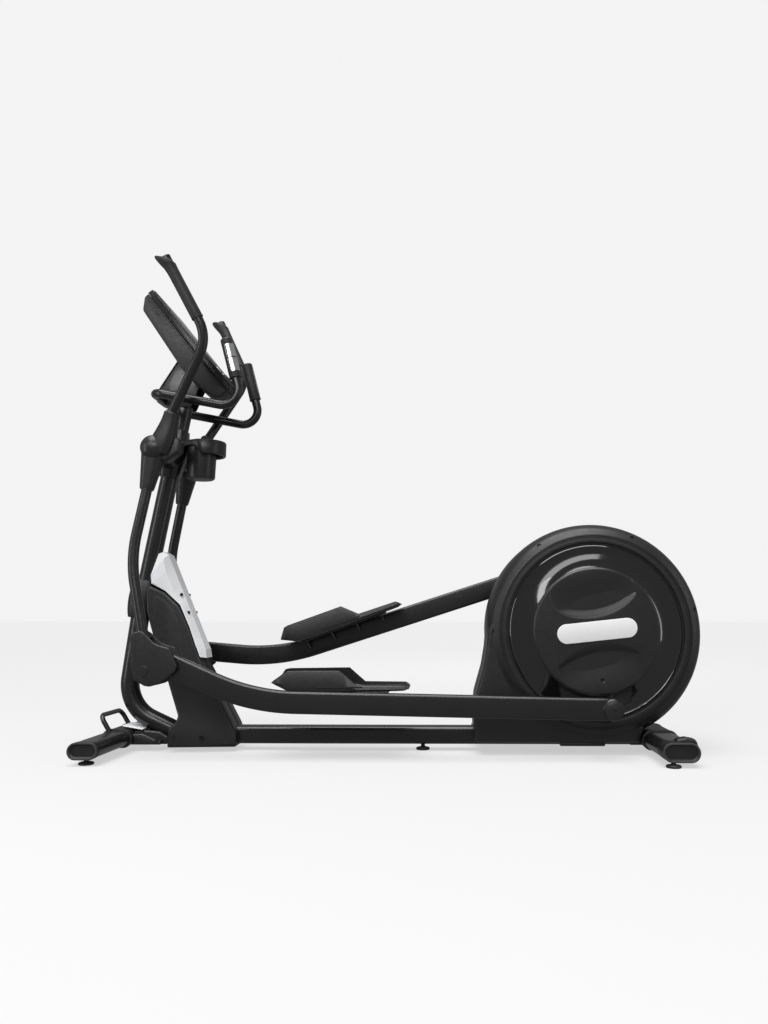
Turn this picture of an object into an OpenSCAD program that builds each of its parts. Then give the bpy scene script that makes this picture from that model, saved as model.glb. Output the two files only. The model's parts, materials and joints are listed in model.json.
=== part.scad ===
// Rear-drive elliptical trainer. Millimetres, +Z up, floor at Z = 0.
// The user faces -X. Left side is -Y. The origin is on the floor at the middle of the whole machine.

/* [Linkage] */
// Distance of the crank axle behind the middle of the base
crank_x = 717; // [700:1:735]
// Height of the crank axle above the floor
crank_z = 415; // [400:1:440]
// Crank throw, half of the stride
crank_r = 254; // [210:1:262]
// Angle of the left crank at rest, measured up from the rear horizontal
crank_rest = -83; // [-95:1:-75]
// Distance of the swing pivot ahead of the middle of the base
pivot_ahead = 812; // [790:1:840]
// Height of the swing pivot above the floor
pivot_z = 1045; // [1000:1:1090]
// Swing pivot to lower joint
swing_r = 765; // [720:1:790]
// Lower joint to crank pin
arm_l = 1540; // [1500:1:1570]

/* [Base] */
// Overall width at the floor tubes
base_w = 704; // [600:1:840]
// Centre of each floor tube from the middle of the base
stab_x = 934; // [910:1:960]
// Front floor tube, front to back
front_w = 94; // [80:1:110]
// Front floor tube, height
front_h = 51; // [44:1:60]
// Rear floor tube, front to back
rear_w = 114; // [96:1:126]
// Rear floor tube, height
rear_h = 57; // [50:1:66]
// Height of the centre of the floor tubes
stab_z = 46; // [42:1:52]
// Main beam width
beam_w = 60; // [50:1:70]
// Main beam height
beam_h = 62; // [50:1:68]
// Underside of the main beam
beam_z = 21; // [16:1:30]
// Wall of the steel tubes
wall = 2.5; // [2:0.5:4]

/* [Mast] */
// Outside radius of the mast
mast_r = 29; // [25:1:32]
// Height of the joint between the neck and the mast
mast_foot_z = 480; // [450:1:500]
// Height of the top of the mast
mast_top_z = 1245; // [1200:1:1280]
// Outside radius of the front neck tube
neck_r = 28; // [24:1:30]

/* [Arms] */
// Radius of the swing pivot axle
axle_r = 12.5; // [10:0.5:15]
// Radius of the lower swing tube
swing_tube_r = 18; // [15:0.5:20]
// Radius of the upper swing tube
handle_tube_r = 17; // [14:0.5:19]
// Depth of the pedal arm tube
arm_h = 72; // [60:1:80]
// Width of the pedal arm tube
arm_w = 36; // [30:1:40]
// Middle of each pedal arm from the centre plane
arm_y = 232; // [228:1:245]
// Running clearance of a pin in its bore
run_gap = 0.05; // [0.02:0.01:0.1]

/* [Pedals] */
// Length of each pedal
pedal_l = 460; // [380:1:470]
// Width of each pedal
pedal_w = 146; // [120:1:148]
// Height of the side guard at the toe
pedal_guard = 84; // [60:1:90]

/* [Drive] */
// Radius of the round drive housing
housing_r = 372; // [350:1:380]
// Half width of the drive housing
housing_y = 142; // [134:1:146]
// Radius of the turning side dish
dish_r = 290; // [280:1:292]
// Radius of the drive pulley
pulley_r = 165; // [140:1:175]
// Radius of the small pulley on the flywheel
pinion_r = 22; // [18:1:30]
// Radius of the flywheel
flywheel_r = 110; // [90:1:115]
// Wall of the moulded covers
skin = 3; // [2:0.5:4]

/* [Console] */
// Width of the console
console_w = 330; // [280:1:350]
// Angle of the console face below the horizontal
console_tilt = 49.5; // [40:0.5:60]

/* [Hidden] */
$fn = 64;

LEFT = -1;
RIGHT = 1;
frame_black = [0.11, 0.11, 0.12];
cover_black = [0.16, 0.16, 0.17];
gloss_black = [0.05, 0.05, 0.06];
panel_white = [0.86, 0.87, 0.88];
steel = [0.7, 0.71, 0.73];

// Rest pose of the two linkages, in the X-Z plane
crank_pt = [crank_x, crank_z];
pivot_pt = [-pivot_ahead, pivot_z];
function crank_angle(side) = side == LEFT ? crank_rest : crank_rest + 180;
function pin_pt(side) = crank_pt + crank_r * [cos(crank_angle(side)), sin(crank_angle(side))];
function heading(v) = atan2(v[1], v[0]);
function swing_dir(side) =
    let (v = pin_pt(side) - pivot_pt, d = norm(v))
    heading(v) - acos((swing_r * swing_r + d * d - arm_l * arm_l) / (2 * swing_r * d));
function lower_pt(side) = pivot_pt + swing_r * [cos(swing_dir(side)), sin(swing_dir(side))];
function swing_angle(side) = swing_dir(side) + 90;
function arm_angle(side) = heading(pin_pt(side) - lower_pt(side));

// Places children() drawn about an X-Z point, turned by an angle that lifts +X towards +Z
module at(pt, angle = 0) translate([pt[0], 0, pt[1]]) rotate([0, -angle, 0]) children();
module flip(side) if (side == LEFT) mirror([0, 1, 0]) children(); else children();
module place_swing(side) at(pivot_pt, swing_angle(side)) flip(side) children();
module place_arm(side) at(lower_pt(side), arm_angle(side)) flip(side) children();
module place_crank(side) at(crank_pt, crank_angle(side)) flip(side) children();

// An X-Z outline drawn out between two Y values
module slab(y0, y1) translate([0, y1, 0]) rotate([90, 0, 0]) linear_extrude(y1 - y0) children();
// A round bar along Y about an X-Z point
module rod(pt, y0, y1, r) translate([pt[0], y1, pt[1]]) rotate([90, 0, 0]) cylinder(h = y1 - y0, r = r);
// A profile of [radius, Y] points turned about the Y axis
module turned(profile) rotate([-90, 0, 0]) rotate_extrude($fn = 96) polygon(profile);
module block(x, y, z) translate([x[0], y[0], z[0]]) cube([x[1] - x[0], y[1] - y[0], z[1] - z[0]]);
module stadium(w, h) {
    square([w - h, h], center = true);
    for (s = [-1, 1]) translate([s * (w - h) / 2, 0]) circle(r = h / 2);
}

// Round bar along a path of corner points, with one bend radius for each inner corner.
// A bend swells by 0.15 mm, as a bent tube does, and each straight runs 1 mm into it.
function unit(v) = v / norm(v);
function bend_turn(p, i) = acos(unit(p[i] - p[i - 1]) * unit(p[i + 1] - p[i]));
function bend_tangent(p, b, i) =
    (i == 0 || i == len(p) - 1) ? 0 : b[i - 1] * tan(bend_turn(p, i) / 2);
module bar(p, b, r) {
    for (i = [0 : len(p) - 2]) {
        a = unit(p[i + 1] - p[i]);
        lap0 = i == 0 ? 0 : 1;
        lap1 = i == len(p) - 2 ? 0 : 1;
        start = p[i] + a * (bend_tangent(p, b, i) - lap0);
        length = norm(p[i + 1] - p[i]) - bend_tangent(p, b, i) - bend_tangent(p, b, i + 1) + lap0 + lap1;
        translate(start) aim(a) cylinder(h = length, r = r);
    }
    for (i = [1 : 1 : len(p) - 2]) {
        a = unit(p[i] - p[i - 1]);
        c = unit(p[i + 1] - p[i]);
        n = unit(c - a * (a * c));
        w = cross(a, n);
        o = p[i] - a * bend_tangent(p, b, i) + n * b[i - 1];
        multmatrix([[-n[0], a[0], w[0], o[0]], [-n[1], a[1], w[1], o[1]],
            [-n[2], a[2], w[2], o[2]], [0, 0, 0, 1]])
            rotate_extrude(angle = bend_turn(p, i)) translate([b[i - 1], 0]) circle(r = r + 0.15);
    }
}
module aim(a) rotate([0, acos(a[2]), atan2(a[1], a[0])]) children();
module pipe(p, b, r, t = wall) difference() {
    bar(p, b, r);
    bar(p, b, r - t);
}

// ---------------------------------------------------------------- base
beam_front = -760;
beam_rear = 884;
beam_top = beam_z + beam_h;
tongue_w = 50;
tongue_top = 42;
half_w = base_w / 2;
front_pt = [-stab_x, stab_z];
rear_pt = [stab_x, stab_z];
cap_t = 12;
wheel_r = 36;
wheel_pt = [stab_x + 28, stab_z + 2];
wheel_y = half_w - 46;
wheel_w = 26;
wheel_pin_r = 4;
rear_cap_len = 68;
foot_r = 24;
front_foot = [-stab_x, half_w - 40];
rear_foot = [stab_x - 24, half_w - 17];
mid_foot_x = 123;

module base_beam() color(frame_black) difference() {
    union() {
        difference() {
            block([beam_front, beam_rear], [-beam_w / 2, beam_w / 2], [beam_z, beam_top]);
            block([beam_front + wall, beam_rear + 1], [wall - beam_w / 2, beam_w / 2 - wall],
                [beam_z + wall, beam_top - wall]);
        }
        block([front_pt[0] + 20, beam_front + 1], [-tongue_w / 2, tongue_w / 2],
            [beam_z + 1, tongue_top]);
    }
    at(front_pt) slab(-100, 100) stadium(front_w, front_h);
    at(rear_pt) slab(-100, 100) stadium(rear_w, rear_h);
}

module floor_tube(pt, w, h, reach) color(frame_black) at(pt) difference() {
    slab(-reach, reach) stadium(w, h);
    slab(-reach - 1, reach + 1) stadium(w - 2 * wall, h - 2 * wall);
}

module front_cap() at(front_pt) difference() {
    slab(half_w - cap_t, half_w) stadium(front_w, front_h);
    slab(half_w - 5, half_w + 1) stadium(front_w - 14, front_h - 14);
}

module rear_cap() {
    difference() {
        at(rear_pt) slab(half_w - rear_cap_len, half_w) stadium(rear_w, rear_h);
        at(rear_pt) slab(half_w - 5, half_w + 1) stadium(rear_w - 14, rear_h - 14);
        block([wheel_pt[0] - wheel_r - 3, wheel_pt[0] + 60],
            [wheel_y - wheel_w / 2 - 2, wheel_y + wheel_w / 2 + 2], [0, 120]);
        rod(wheel_pt, half_w - rear_cap_len - 1, half_w - 12, wheel_pin_r);
    }
    rod(wheel_pt, half_w - rear_cap_len + 4, half_w - 12, wheel_pin_r);
}

module end_caps() color(cover_black) for (side = [LEFT, RIGHT]) flip(side) {
    front_cap();
    rear_cap();
}

module foot(x, y, top) translate([x, y, 0]) {
    cylinder(h = 5, r = foot_r);
    translate([0, 0, 5]) cylinder(h = 4, r1 = foot_r - 2, r2 = 12);
    translate([0, 0, 9]) cylinder(h = top - 9, r = 6);
}

module levelling_feet() color(gloss_black) {
    for (side = [LEFT, RIGHT]) {
        foot(front_foot[0], side * front_foot[1], stab_z - front_h / 2);
        foot(rear_foot[0], side * rear_foot[1], stab_z - rear_h / 2);
    }
    foot(mid_foot_x, 0, beam_z);
}

module transport_wheel(side) color(gloss_black) flip(side) difference() {
    union() {
        rod(wheel_pt, wheel_y - wheel_w / 2 + 3, wheel_y + wheel_w / 2 - 3, wheel_r);
        rod(wheel_pt, wheel_y - wheel_w / 2, wheel_y + wheel_w / 2, wheel_r - 4);
    }
    rod(wheel_pt, wheel_y - wheel_w, wheel_y + wheel_w, wheel_pin_r + run_gap);
}

saddle_y = 75;
saddle_t = 6;
module front_saddle() color(cover_black) difference() {
    union() {
        at(front_pt) slab(-saddle_y, saddle_y) stadium(front_w + 2 * saddle_t, front_h + 2 * saddle_t);
        block([front_pt[0] + 30, beam_front - 12], [-tongue_w / 2 - 12, tongue_w / 2 + 12],
            [beam_z - 2, tongue_top + 20]);
    }
    at(front_pt) slab(-saddle_y - 1, saddle_y + 1) stadium(front_w, front_h);
    block([front_pt[0], beam_front], [-tongue_w / 2, tongue_w / 2], [0, tongue_top]);
    block([front_pt[0] + 20, beam_front - 5], [-neck_r - 1, neck_r + 1], [tongue_top, 120]);
}

loop_r = 8;
loop_y = saddle_y + 14;
loop_x = -(wheel_pt[0] + wheel_r - loop_r);
module lift_handle() color(frame_black) difference() {
    bar([for (p = [[front_pt[0] - 18, -loop_y, stab_z + 10], [loop_x, -loop_y, stab_z + 78],
        [loop_x, loop_y, stab_z + 78], [front_pt[0] - 18, loop_y, stab_z + 10]]) p], [26, 26], loop_r);
    at(front_pt) slab(-half_w, half_w) stadium(front_w, front_h);
}

// ---------------------------------------------------------------- mast
// The mast leans back and passes through the swing pivot
mast_lean = 9.3;
function mast_x(z) = -pivot_ahead + 3 + (z - pivot_z) * tan(mast_lean);
mast_foot = [mast_x(mast_foot_z), 0, mast_foot_z];
mast_top = [mast_x(mast_top_z), 0, mast_top_z];
neck_path = [[mast_foot[0], 0, mast_foot_z + 5], [mast_foot[0] - 36, 0, 145], [-748, 0, 58]];
neck_bends = [230];
head_r = 36;
head_y = 138;

module neck_tube() color(frame_black) difference() {
    pipe(neck_path, neck_bends, neck_r);
    block([-1100, 0], [-100, 100], [mast_foot_z, mast_foot_z + 100]);
    block([beam_front, 0], [-100, 100], [0, 300]);
    block([-1100, 0], [-100, 100], [-50, tongue_top]);
}

module mast_bar(r, z0, z1) bar([[mast_x(z0), 0, z0], [mast_x(z1), 0, z1]], [], r);

module mast() color(frame_black) difference() {
    union() {
        difference() {
            mast_bar(mast_r, mast_foot_z - 10, mast_top_z);
            mast_bar(mast_r - wall, mast_foot_z - 20, mast_top_z - wall);
        }
        rod(pivot_pt, -head_y, head_y, head_r);
    }
    block([-1100, 0], [-100, 100], [0, mast_foot_z]);
    rod(pivot_pt, -head_y - 1, head_y + 1, axle_r);
}

module pivot_axle() color(steel) rod(pivot_pt, -socket_y1 + 6, socket_y1 - 6, axle_r);

brace_r = 20;
brace_path = [[-632, 0, beam_top - 20], [-880, 0, 640]];
module mast_brace() color(frame_black) difference() {
    pipe(brace_path, [], brace_r);
    block([-1100, 0], [-100, 100], [0, beam_top]);
    mast_bar(mast_r, mast_foot_z - 20, mast_top_z);
}

collar_r = 44;
module collar_shape(grow) {
    translate(mast_foot) rotate([0, mast_lean, 0]) {
        translate([0, 0, -18]) cylinder(h = 52 + grow, r1 = mast_r + 4 + grow, r2 = collar_r + grow);
        translate([0, 0, 34]) cylinder(h = 80 + grow, r1 = collar_r + grow, r2 = mast_r + 3 + grow);
    }
}
module mast_collar() color(cover_black) difference() {
    collar_shape(0);
    mast_bar(mast_r, mast_foot_z - 40, mast_foot_z + 200);
    bar(neck_path, neck_bends, neck_r);
    bar(brace_path, [], brace_r);
}

// ---------------------------------------------------------------- shroud
shroud_wide = 85;
shroud_narrow = 56;
shroud_base_z = 16;
dark_outline = [[-757, shroud_base_z], [-757, 78], [-730, 104], [-726, 122], [-775, 238], [-836, 400],
    [-862, 480], [-868, 578], [-800, 548], [-745, 500], [-705, 420], [-668, 325], [-537, 90],
    [-524, 60], [-524, shroud_base_z]];
white_outline = [[-862, 590], [-838, 690], [-800, 684], [-722, 510], [-648, 345], [-646, 318],
    [-663, 318], [-702, 424], [-742, 504], [-798, 553]];
module front_view() rotate([90, 0, 90]) translate([0, 0, -1200]) linear_extrude(2000) children();
module shroud_width(inset) front_view() polygon([
    for (s = [1, -1]) for (p = s > 0
        ? [[shroud_wide - inset, 0], [shroud_wide - inset, 95], [shroud_narrow - inset, 215],
           [shroud_narrow - inset, 720]]
        : [[-shroud_narrow + inset, 720], [-shroud_narrow + inset, 215], [-shroud_wide + inset, 95],
           [-shroud_wide + inset, 0]]) p]);
module shroud_clear() {
    mast_bar(mast_r + 0.6, mast_foot_z - 40, mast_top_z);
    collar_shape(1);
    bar(neck_path, neck_bends, neck_r + 0.6);
    bar(brace_path, [], brace_r + 0.6);
    block([beam_front - 20, -500], [-beam_w / 2 - 0.5, beam_w / 2 + 0.5], [0, beam_top + 0.5]);
}
module shroud_half(side) color(cover_black) difference() {
    intersection() {
        flip(side) slab(0.2, shroud_wide) polygon(dark_outline);
        shroud_width(0);
    }
    intersection() {
        slab(-shroud_wide, shroud_wide) {
            offset(delta = -skin) polygon(dark_outline);
            translate([-750, 0]) square([220, shroud_base_z + skin + 1]);
        }
        shroud_width(skin);
    }
    shroud_clear();
}
module shroud_panel() color(panel_white) difference() {
    slab(-shroud_narrow, shroud_narrow) polygon(white_outline);
    slab(-shroud_narrow + skin, shroud_narrow - skin) intersection() {
        translate([-skin, -skin]) polygon(white_outline);
        translate([-skin - 1.5, 0]) polygon(white_outline);
    }
    shroud_clear();
}

// ---------------------------------------------------------------- drive housing
rim_r = dish_r + 7;
recess_y = housing_y - 8;
base_half = 128;
screw_r = 5;
ring_screws = [for (a = [67, 122.5, 180, 232, 300, 12]) 346 * [cos(a), sin(a)]];
base_screws = [[362, 56], [566, 63], [770, 70]];
housing_profile = [[0, 0], [housing_r, 0], [housing_r, 55], [housing_r - 6, 90], [housing_r - 17, 118],
    [housing_r - 30, 134], [housing_r - 35, 139], [housing_r - 39, housing_y - 1],
    [rim_r + 3, housing_y], [rim_r, housing_y - 1], [rim_r, recess_y], [0, recess_y]];
hollow_profile = [[0, -1], [housing_r - skin, -1], [housing_r - skin, 54], [housing_r - skin - 6, 88],
    [housing_r - skin - 17, 115], [housing_r - skin - 30, 131], [housing_r - 42, housing_y - skin - 1],
    [rim_r + skin, housing_y - skin], [rim_r + skin, recess_y - skin], [0, recess_y - skin]];
housing_base = [[345, 413], [341, 340], [322, 218], [303, 100], [300, 42], [855, 42], [866, 78],
    [717, 200], [717, 413]];
inlet_pt = [300, 68];
inlet_y = 90;

module housing_half(side) color(cover_black) difference() {
    flip(side) difference() {
        union() {
            at(crank_pt) turned(housing_profile);
            slab(0, base_half) polygon(housing_base);
        }
        at(crank_pt) turned(hollow_profile);
        slab(-1, base_half - skin) {
            offset(delta = -skin) polygon(housing_base);
            translate([304, 36]) square([546, 12]);
            translate([690, 190]) square([60, 240]);
        }
        rod(crank_pt, 0, 200, 40);
        block([200, 1000], [-1, beam_w / 2 + 0.5], [0, beam_top + 0.5]);
        for (p = ring_screws) rod(crank_pt + p, 110, 160, screw_r + 0.2);
        for (p = base_screws) rod(p, base_half - 6, base_half + 5, screw_r + 0.2);
    }
    translate([inlet_pt[0], inlet_y, inlet_pt[1]]) rotate([0, 90, 0])
        cylinder(h = 30, r = 7.2, center = true);
}

module housing_screws() color(gloss_black) for (side = [LEFT, RIGHT]) flip(side) {
    for (p = ring_screws) rod(crank_pt + p, 116, 125, screw_r);
    for (p = base_screws) rod(p, base_half - 12, base_half - 3, screw_r);
}

module power_inlet() color(gloss_black) translate([inlet_pt[0], inlet_y, inlet_pt[1]])
    rotate([0, 90, 0]) difference() {
        union() {
            translate([0, 0, -3]) cylinder(h = 2.5, r = 11);
            translate([0, 0, -1]) cylinder(h = 21, r = 7);
        }
        translate([0, 0, -4]) cylinder(h = 14, r = 4);
    }

// ---------------------------------------------------------------- drive
fly_pt = crank_pt + [-215, -80];
fly_axle_r = 8;
bearing_r = 26;
crank_axle_r = 12.5;
plate_y = 57;
plate_t = 6;
belt_half = 8;
belt_t = 3;
fly_y0 = 18;
fly_y1 = 46;
brake_pin = fly_pt + (flywheel_r + 18) * [cos(262), sin(262)];
plate_outline = [[420, beam_top], [830, beam_top], [crank_x + 58, crank_z + 50],
    [crank_x - 57, crank_z + 50], [fly_pt[0] + 30, fly_pt[1] + 60], [fly_pt[0] - 50, fly_pt[1] + 40]];

module drive_frame() color(frame_black) {
    difference() {
        union() {
            for (side = [LEFT, RIGHT]) flip(side) slab(plate_y, plate_y + plate_t)
                polygon(plate_outline);
            block([420, 830], [-plate_y - 1, plate_y + 1], [beam_top, beam_top + 6]);
        }
        rod(crank_pt, -90, 90, bearing_r);
        rod(fly_pt, -90, 90, fly_axle_r);
    }
    rod(brake_pin, fly_y0, plate_y, 4);
}

// Two crank bearings and the fixed axle that the flywheel turns on
module drive_bearings() color(steel) {
    for (side = [LEFT, RIGHT]) flip(side) difference() {
        rod(crank_pt, plate_y - 4, plate_y + plate_t + 4, bearing_r);
        rod(crank_pt, 0, 90, crank_axle_r + run_gap);
    }
    rod(fly_pt, -plate_y - plate_t, plate_y + plate_t, fly_axle_r);
}

module belt_outline(grow) hull() {
    translate(crank_pt) circle(r = pulley_r + grow, $fn = 96);
    translate(fly_pt) circle(r = pinion_r + grow, $fn = 48);
}
module drive_belt() color(gloss_black) slab(-belt_half, belt_half) difference() {
    belt_outline(0.3 + belt_t);
    belt_outline(0.3);
}

module crank_axle() color(steel) rod(crank_pt, -crank_hub_y1, crank_hub_y1, crank_axle_r);

module drive_pulley() color(gloss_black) at(crank_pt) difference() {
    union() {
        slab(-11, 11) circle(r = pulley_r, $fn = 96);
        rod([0, 0], -30, 30, 24);
    }
    for (s = [LEFT, RIGHT]) flip(s) slab(4, 12) difference() {
        circle(r = pulley_r - 14, $fn = 96);
        circle(r = 40);
    }
    for (k = [0 : 4]) rotate([0, 72 * k, 0]) rod([90, 0], -20, 20, 30);
    rod([0, 0], -40, 40, crank_axle_r);
}

module flywheel() color(steel) difference() {
    union() {
        rod(fly_pt, fly_y0, fly_y1, flywheel_r);
        rod(fly_pt, -11, fly_y1 + 4, pinion_r);
    }
    rod(fly_pt, -90, 90, fly_axle_r + run_gap);
}

module caliper_arc(r0, r1, y0, y1, a0, a1) at(fly_pt, a0) rotate([-90, 0, 0])
    mirror([0, 1, 0]) rotate_extrude(angle = a1 - a0, $fn = 96)
        translate([r0, y0]) square([r1 - r0, y1 - y0]);

module brake_caliper() color(steel) {
    for (y = [fly_y0 - 5.5, fly_y1 + 1.5]) caliper_arc(84, 118, y, y + 4, 200, 250);
    difference() {
        union() {
            caliper_arc(flywheel_r + 3, flywheel_r + 8, fly_y0 - 5.5, fly_y1 + 5.5, 200, 262);
            rod(brake_pin, fly_y0 + 2, fly_y1 - 2, 10);
        }
        rod(brake_pin, 0, 90, 4 + run_gap);
        rod(fly_pt, fly_y0 - 10, fly_y1 + 10, flywheel_r + 2.5);
    }
}

module resistance_motor() color(cover_black) {
    block([560, 622], [-28, 28], [beam_top + 6, beam_top + 56]);
    rod([591, beam_top + 31], 28, 42, 12);
}

// ---------------------------------------------------------------- crankset
crank_bar_y0 = recess_y + 5;
crank_bar_y1 = recess_y + 17;
crank_hub_y1 = recess_y + 20;
boss_r = 24;
boss_y1 = arm_y - arm_w / 2 - 8;
ring_inner = 205;
cap_r = 216;
dish_y = housing_y + 15;
dish_profile = [[ring_inner, dish_y - 3], [ring_inner, dish_y], [225, dish_y], [250, dish_y - 2],
    [dish_r - 20, dish_y - 7], [dish_r - 7, dish_y - 13], [dish_r, dish_y - 18],
    [dish_r, dish_y - 21], [dish_r - 3, dish_y - 21], [dish_r - 9, dish_y - 15.5],
    [dish_r - 22, dish_y - 10], [249, dish_y - 5], [224, dish_y - 3]];
window_l = 240;
window_in = 176;

module crank_arms() color(frame_black) for (side = [LEFT, RIGHT]) place_crank(side) difference() {
    union() {
        slab(crank_bar_y0, crank_bar_y1) {
            circle(r = 28);
            translate([0, -20]) square([crank_r, 40]);
            translate([crank_r, 0]) circle(r = boss_r);
        }
        rod([crank_r, 0], crank_bar_y0, boss_y1, boss_r - 4);
    }
    rod([0, 0], 0, 200, crank_axle_r);
    rod([crank_r, 0], crank_bar_y1 + 4, 300, 10);
}

module side_dishes() color(gloss_black) for (side = [LEFT, RIGHT]) place_crank(side) difference() {
    turned(dish_profile);
    slab(crank_bar_y0 - 20, dish_y + 9) translate([window_in, -window_l / 2])
        square([crank_r - window_in, window_l]);
    rod([crank_r, 0], 0, 300, boss_r + 2);
}

badge_l = 276;
badge_h = 66;
module inner_caps() color(cover_black) for (side = [LEFT, RIGHT]) place_crank(side) {
    turned([[0, dish_y], [cap_r, dish_y], [cap_r, dish_y + 3], [cap_r - 4, dish_y + 5.5],
        [150, dish_y + 8], [0, dish_y + 9.5]]);
    slab(dish_y + 6, dish_y + 12) rotate(90) stadium(badge_l, badge_h);
}

// ---------------------------------------------------------------- swing arms
// Drawn about the pivot at the origin, with the lower joint straight below it
hub_y = 185;
socket_y0 = head_y + 3;
socket_y1 = 222;
upper_lean = 28.7;
upper_splay = 0.215;
lower_splay = (arm_y - hub_y) / swing_r;
function up(x, z) = [x, hub_y + upper_splay * z, z];
function down(x, z) = [x, hub_y - lower_splay * z, z];
handle_path = [up(24, 44), up(204, 372), up(72, 645)];
handle_bends = [130];
tube_foot = [-14, 115 - swing_r];
tube_path = [down(-6, -52), down(-67, -400), down(tube_foot[0], tube_foot[1])];
tube_bends = [600];
fork_in = arm_y - arm_w / 2 - 6;
fork_out = arm_y + arm_w / 2 + 6;
fork_t = 5;
lower_r = 8;
cone_r = 44;

module swing_tube(side) color(frame_black) place_swing(side) {
    pipe(tube_path, tube_bends, swing_tube_r);
    difference() {
        union() {
            for (y = [fork_in, fork_out - fork_t]) slab(y, y + fork_t) {
                translate([0, -swing_r]) circle(r = 22);
                polygon([[-22, -swing_r], [22, -swing_r], [14, tube_foot[1]], [-29, tube_foot[1]]]);
            }
            slab(fork_in, fork_out) translate([-29, tube_foot[1] - 6]) square([43, 6]);
        }
        rod([0, -swing_r], 100, 300, lower_r);
    }
}

module swing_socket(side) color(cover_black) place_swing(side) difference() {
    union() {
        rod([0, 0], socket_y0, socket_y1, cone_r - 2);
        translate([0, hub_y, 0]) aim(unit(handle_path[1] - [0, hub_y, 0]))
            cylinder(h = 160, r1 = cone_r - 4, r2 = 29);
        translate([0, hub_y, 0]) aim(unit(tube_path[1] - [0, hub_y, 0]))
            cylinder(h = 148, r1 = cone_r, r2 = 24);
        turned([[0, socket_y1 - 1], [40, socket_y1 - 1], [40, socket_y1 + 2], [34, socket_y1 + 10],
            [20, socket_y1 + 16], [0, socket_y1 + 18]]);
    }
    rod([0, 0], 0, socket_y1 - 5, axle_r + run_gap);
    bar([handle_path[0], handle_path[1]], [], handle_tube_r);
    bar([tube_path[0], tube_path[1]], [], swing_tube_r);
    rod([0, 0], 0, socket_y0, 100);
}

module swing_handle(side) color(frame_black) place_swing(side)
    pipe(handle_path, handle_bends, handle_tube_r);

grip_dir = unit(handle_path[2] - handle_path[1]);
grip_foot = handle_path[1] + grip_dir * 74;
grip_len = norm(handle_path[2] - grip_foot);
module swing_grip(side) color(gloss_black) place_swing(side) translate(grip_foot) aim(grip_dir)
    difference() {
        union() {
            cylinder(h = grip_len - 60, r = 20);
            translate([0, 0, grip_len - 60]) cylinder(h = 72, r1 = 20, r2 = 25);
        }
        translate([0, 0, -1]) cylinder(h = grip_len + 1, r = handle_tube_r);
    }

cover_outline = [[-43, 120], [-36, 131], [-24, 135], [3, 140], [88, 78], [114, 19], [109, 2],
    [59, -36], [18, -46], [-27, -23], [-36, 18]];
cover_front = [[-43, 120], [-36, 131], [-24, 135], [-37, 100], [-30, 18], [-22, -20], [-27, -23],
    [-36, 18]];
module cover_cheek(y0, y1, plate_at) {
    slab(plate_at, plate_at + 3.5) polygon(cover_outline);
    slab(y0, y1) difference() {
        polygon(cover_outline);
        offset(delta = -4) polygon(cover_outline);
    }
}
module swing_cover(side) color(cover_black) place_swing(side) translate([0, 0, -swing_r])
    difference() {
        union() {
            cover_cheek(fork_in - 12, fork_in - 0.5, fork_in - 12);
            cover_cheek(fork_out + 0.5, fork_out + 13, fork_out + 9.5);
            slab(fork_in - 12, fork_out + 13) polygon(cover_front);
        }
        translate([0, 0, swing_r]) bar([tube_path[1], tube_path[2]], [], swing_tube_r + 0.5);
    }

module lower_axle(side) color(steel) place_swing(side) translate([0, 0, -swing_r]) {
    rod([0, 0], fork_in - 3, fork_out + 3, lower_r);
    rod([0, 0], fork_out, fork_out + 6, 13);
    rod([0, 0], fork_in - 6, fork_in, 13);
}

// ---------------------------------------------------------------- pedal arms
// Drawn about the lower joint at the origin, with the crank pin on +X
arm_in = arm_y - arm_w / 2;
arm_out = arm_y + arm_w / 2;
arm_corner = [357, -66];
arm_front = [78, 32];
arm_bend = 800;
pin_r = 10;
pin_housing_r = 33;
pedal_at = [453, -24];
pedal_pitch = 5;
pedal_y1 = arm_in - 4;
pedal_y0 = pedal_y1 - pedal_w;
pedal_floor = 8;

module strip(a, b, h) translate(a) rotate(heading(b - a)) translate([0, -h / 2])
    square([norm(b - a), h]);
module arm_outline(h, ends) {
    a = unit(arm_corner - arm_front);
    c = unit([arm_l, 0] - arm_corner);
    t = arm_bend * tan(acos(a * c) / 2);
    start = arm_corner - a * t;
    centre = start + arm_bend * [-a[1], a[0]];
    strip(arm_front + a * ends, start + a, h);
    strip(arm_corner + c * (t - 1), [arm_l, 0] - c * ends, h);
    translate(centre) intersection() {
        difference() {
            circle(r = arm_bend + h / 2 + 0.1, $fn = 180);
            circle(r = arm_bend - h / 2 - 0.1, $fn = 180);
        }
        polygon([[0, 0], 1.2 * arm_bend * [a[1], -a[0]],
            1.2 * arm_bend * unit([a[1], -a[0]] + [c[1], -c[0]]), 1.2 * arm_bend * [c[1], -c[0]]]);
    }
}

module pedal_arm(side) color(frame_black) place_arm(side) difference() {
    union() {
        slab(arm_in, arm_out) {
            arm_outline(arm_h, 0);
            translate([arm_l, 0]) circle(r = arm_h / 2 + 0.1);
        }
        rod([arm_l, 0], arm_in - 2, arm_out + 2, pin_housing_r);
        slab(arm_in + 1, arm_out - 1) {
            circle(r = 24);
            polygon([[-4, 20], [8, -20], [90, -2], [80, 60]]);
        }
        // pedal shelf with its gussets
        translate([pedal_at[0], 0, pedal_at[1]]) rotate([0, -pedal_pitch, 0]) {
            block([12, 352], [pedal_y0 + 40, arm_in + 1], [-pedal_floor - 6, -pedal_floor]);
            for (x = [32, 132, 232, 332])
                block([x, x + 5], [arm_in - 60, arm_in + 1], [-34, -pedal_floor - 1]);
        }
    }
    rod([0, 0], 0, 300, lower_r + run_gap);
    rod([arm_l, 0], 0, 300, pin_r);
    slab(arm_in + wall, arm_out - wall) arm_outline(arm_h - 2 * wall, pin_housing_r + 10);
}

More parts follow.
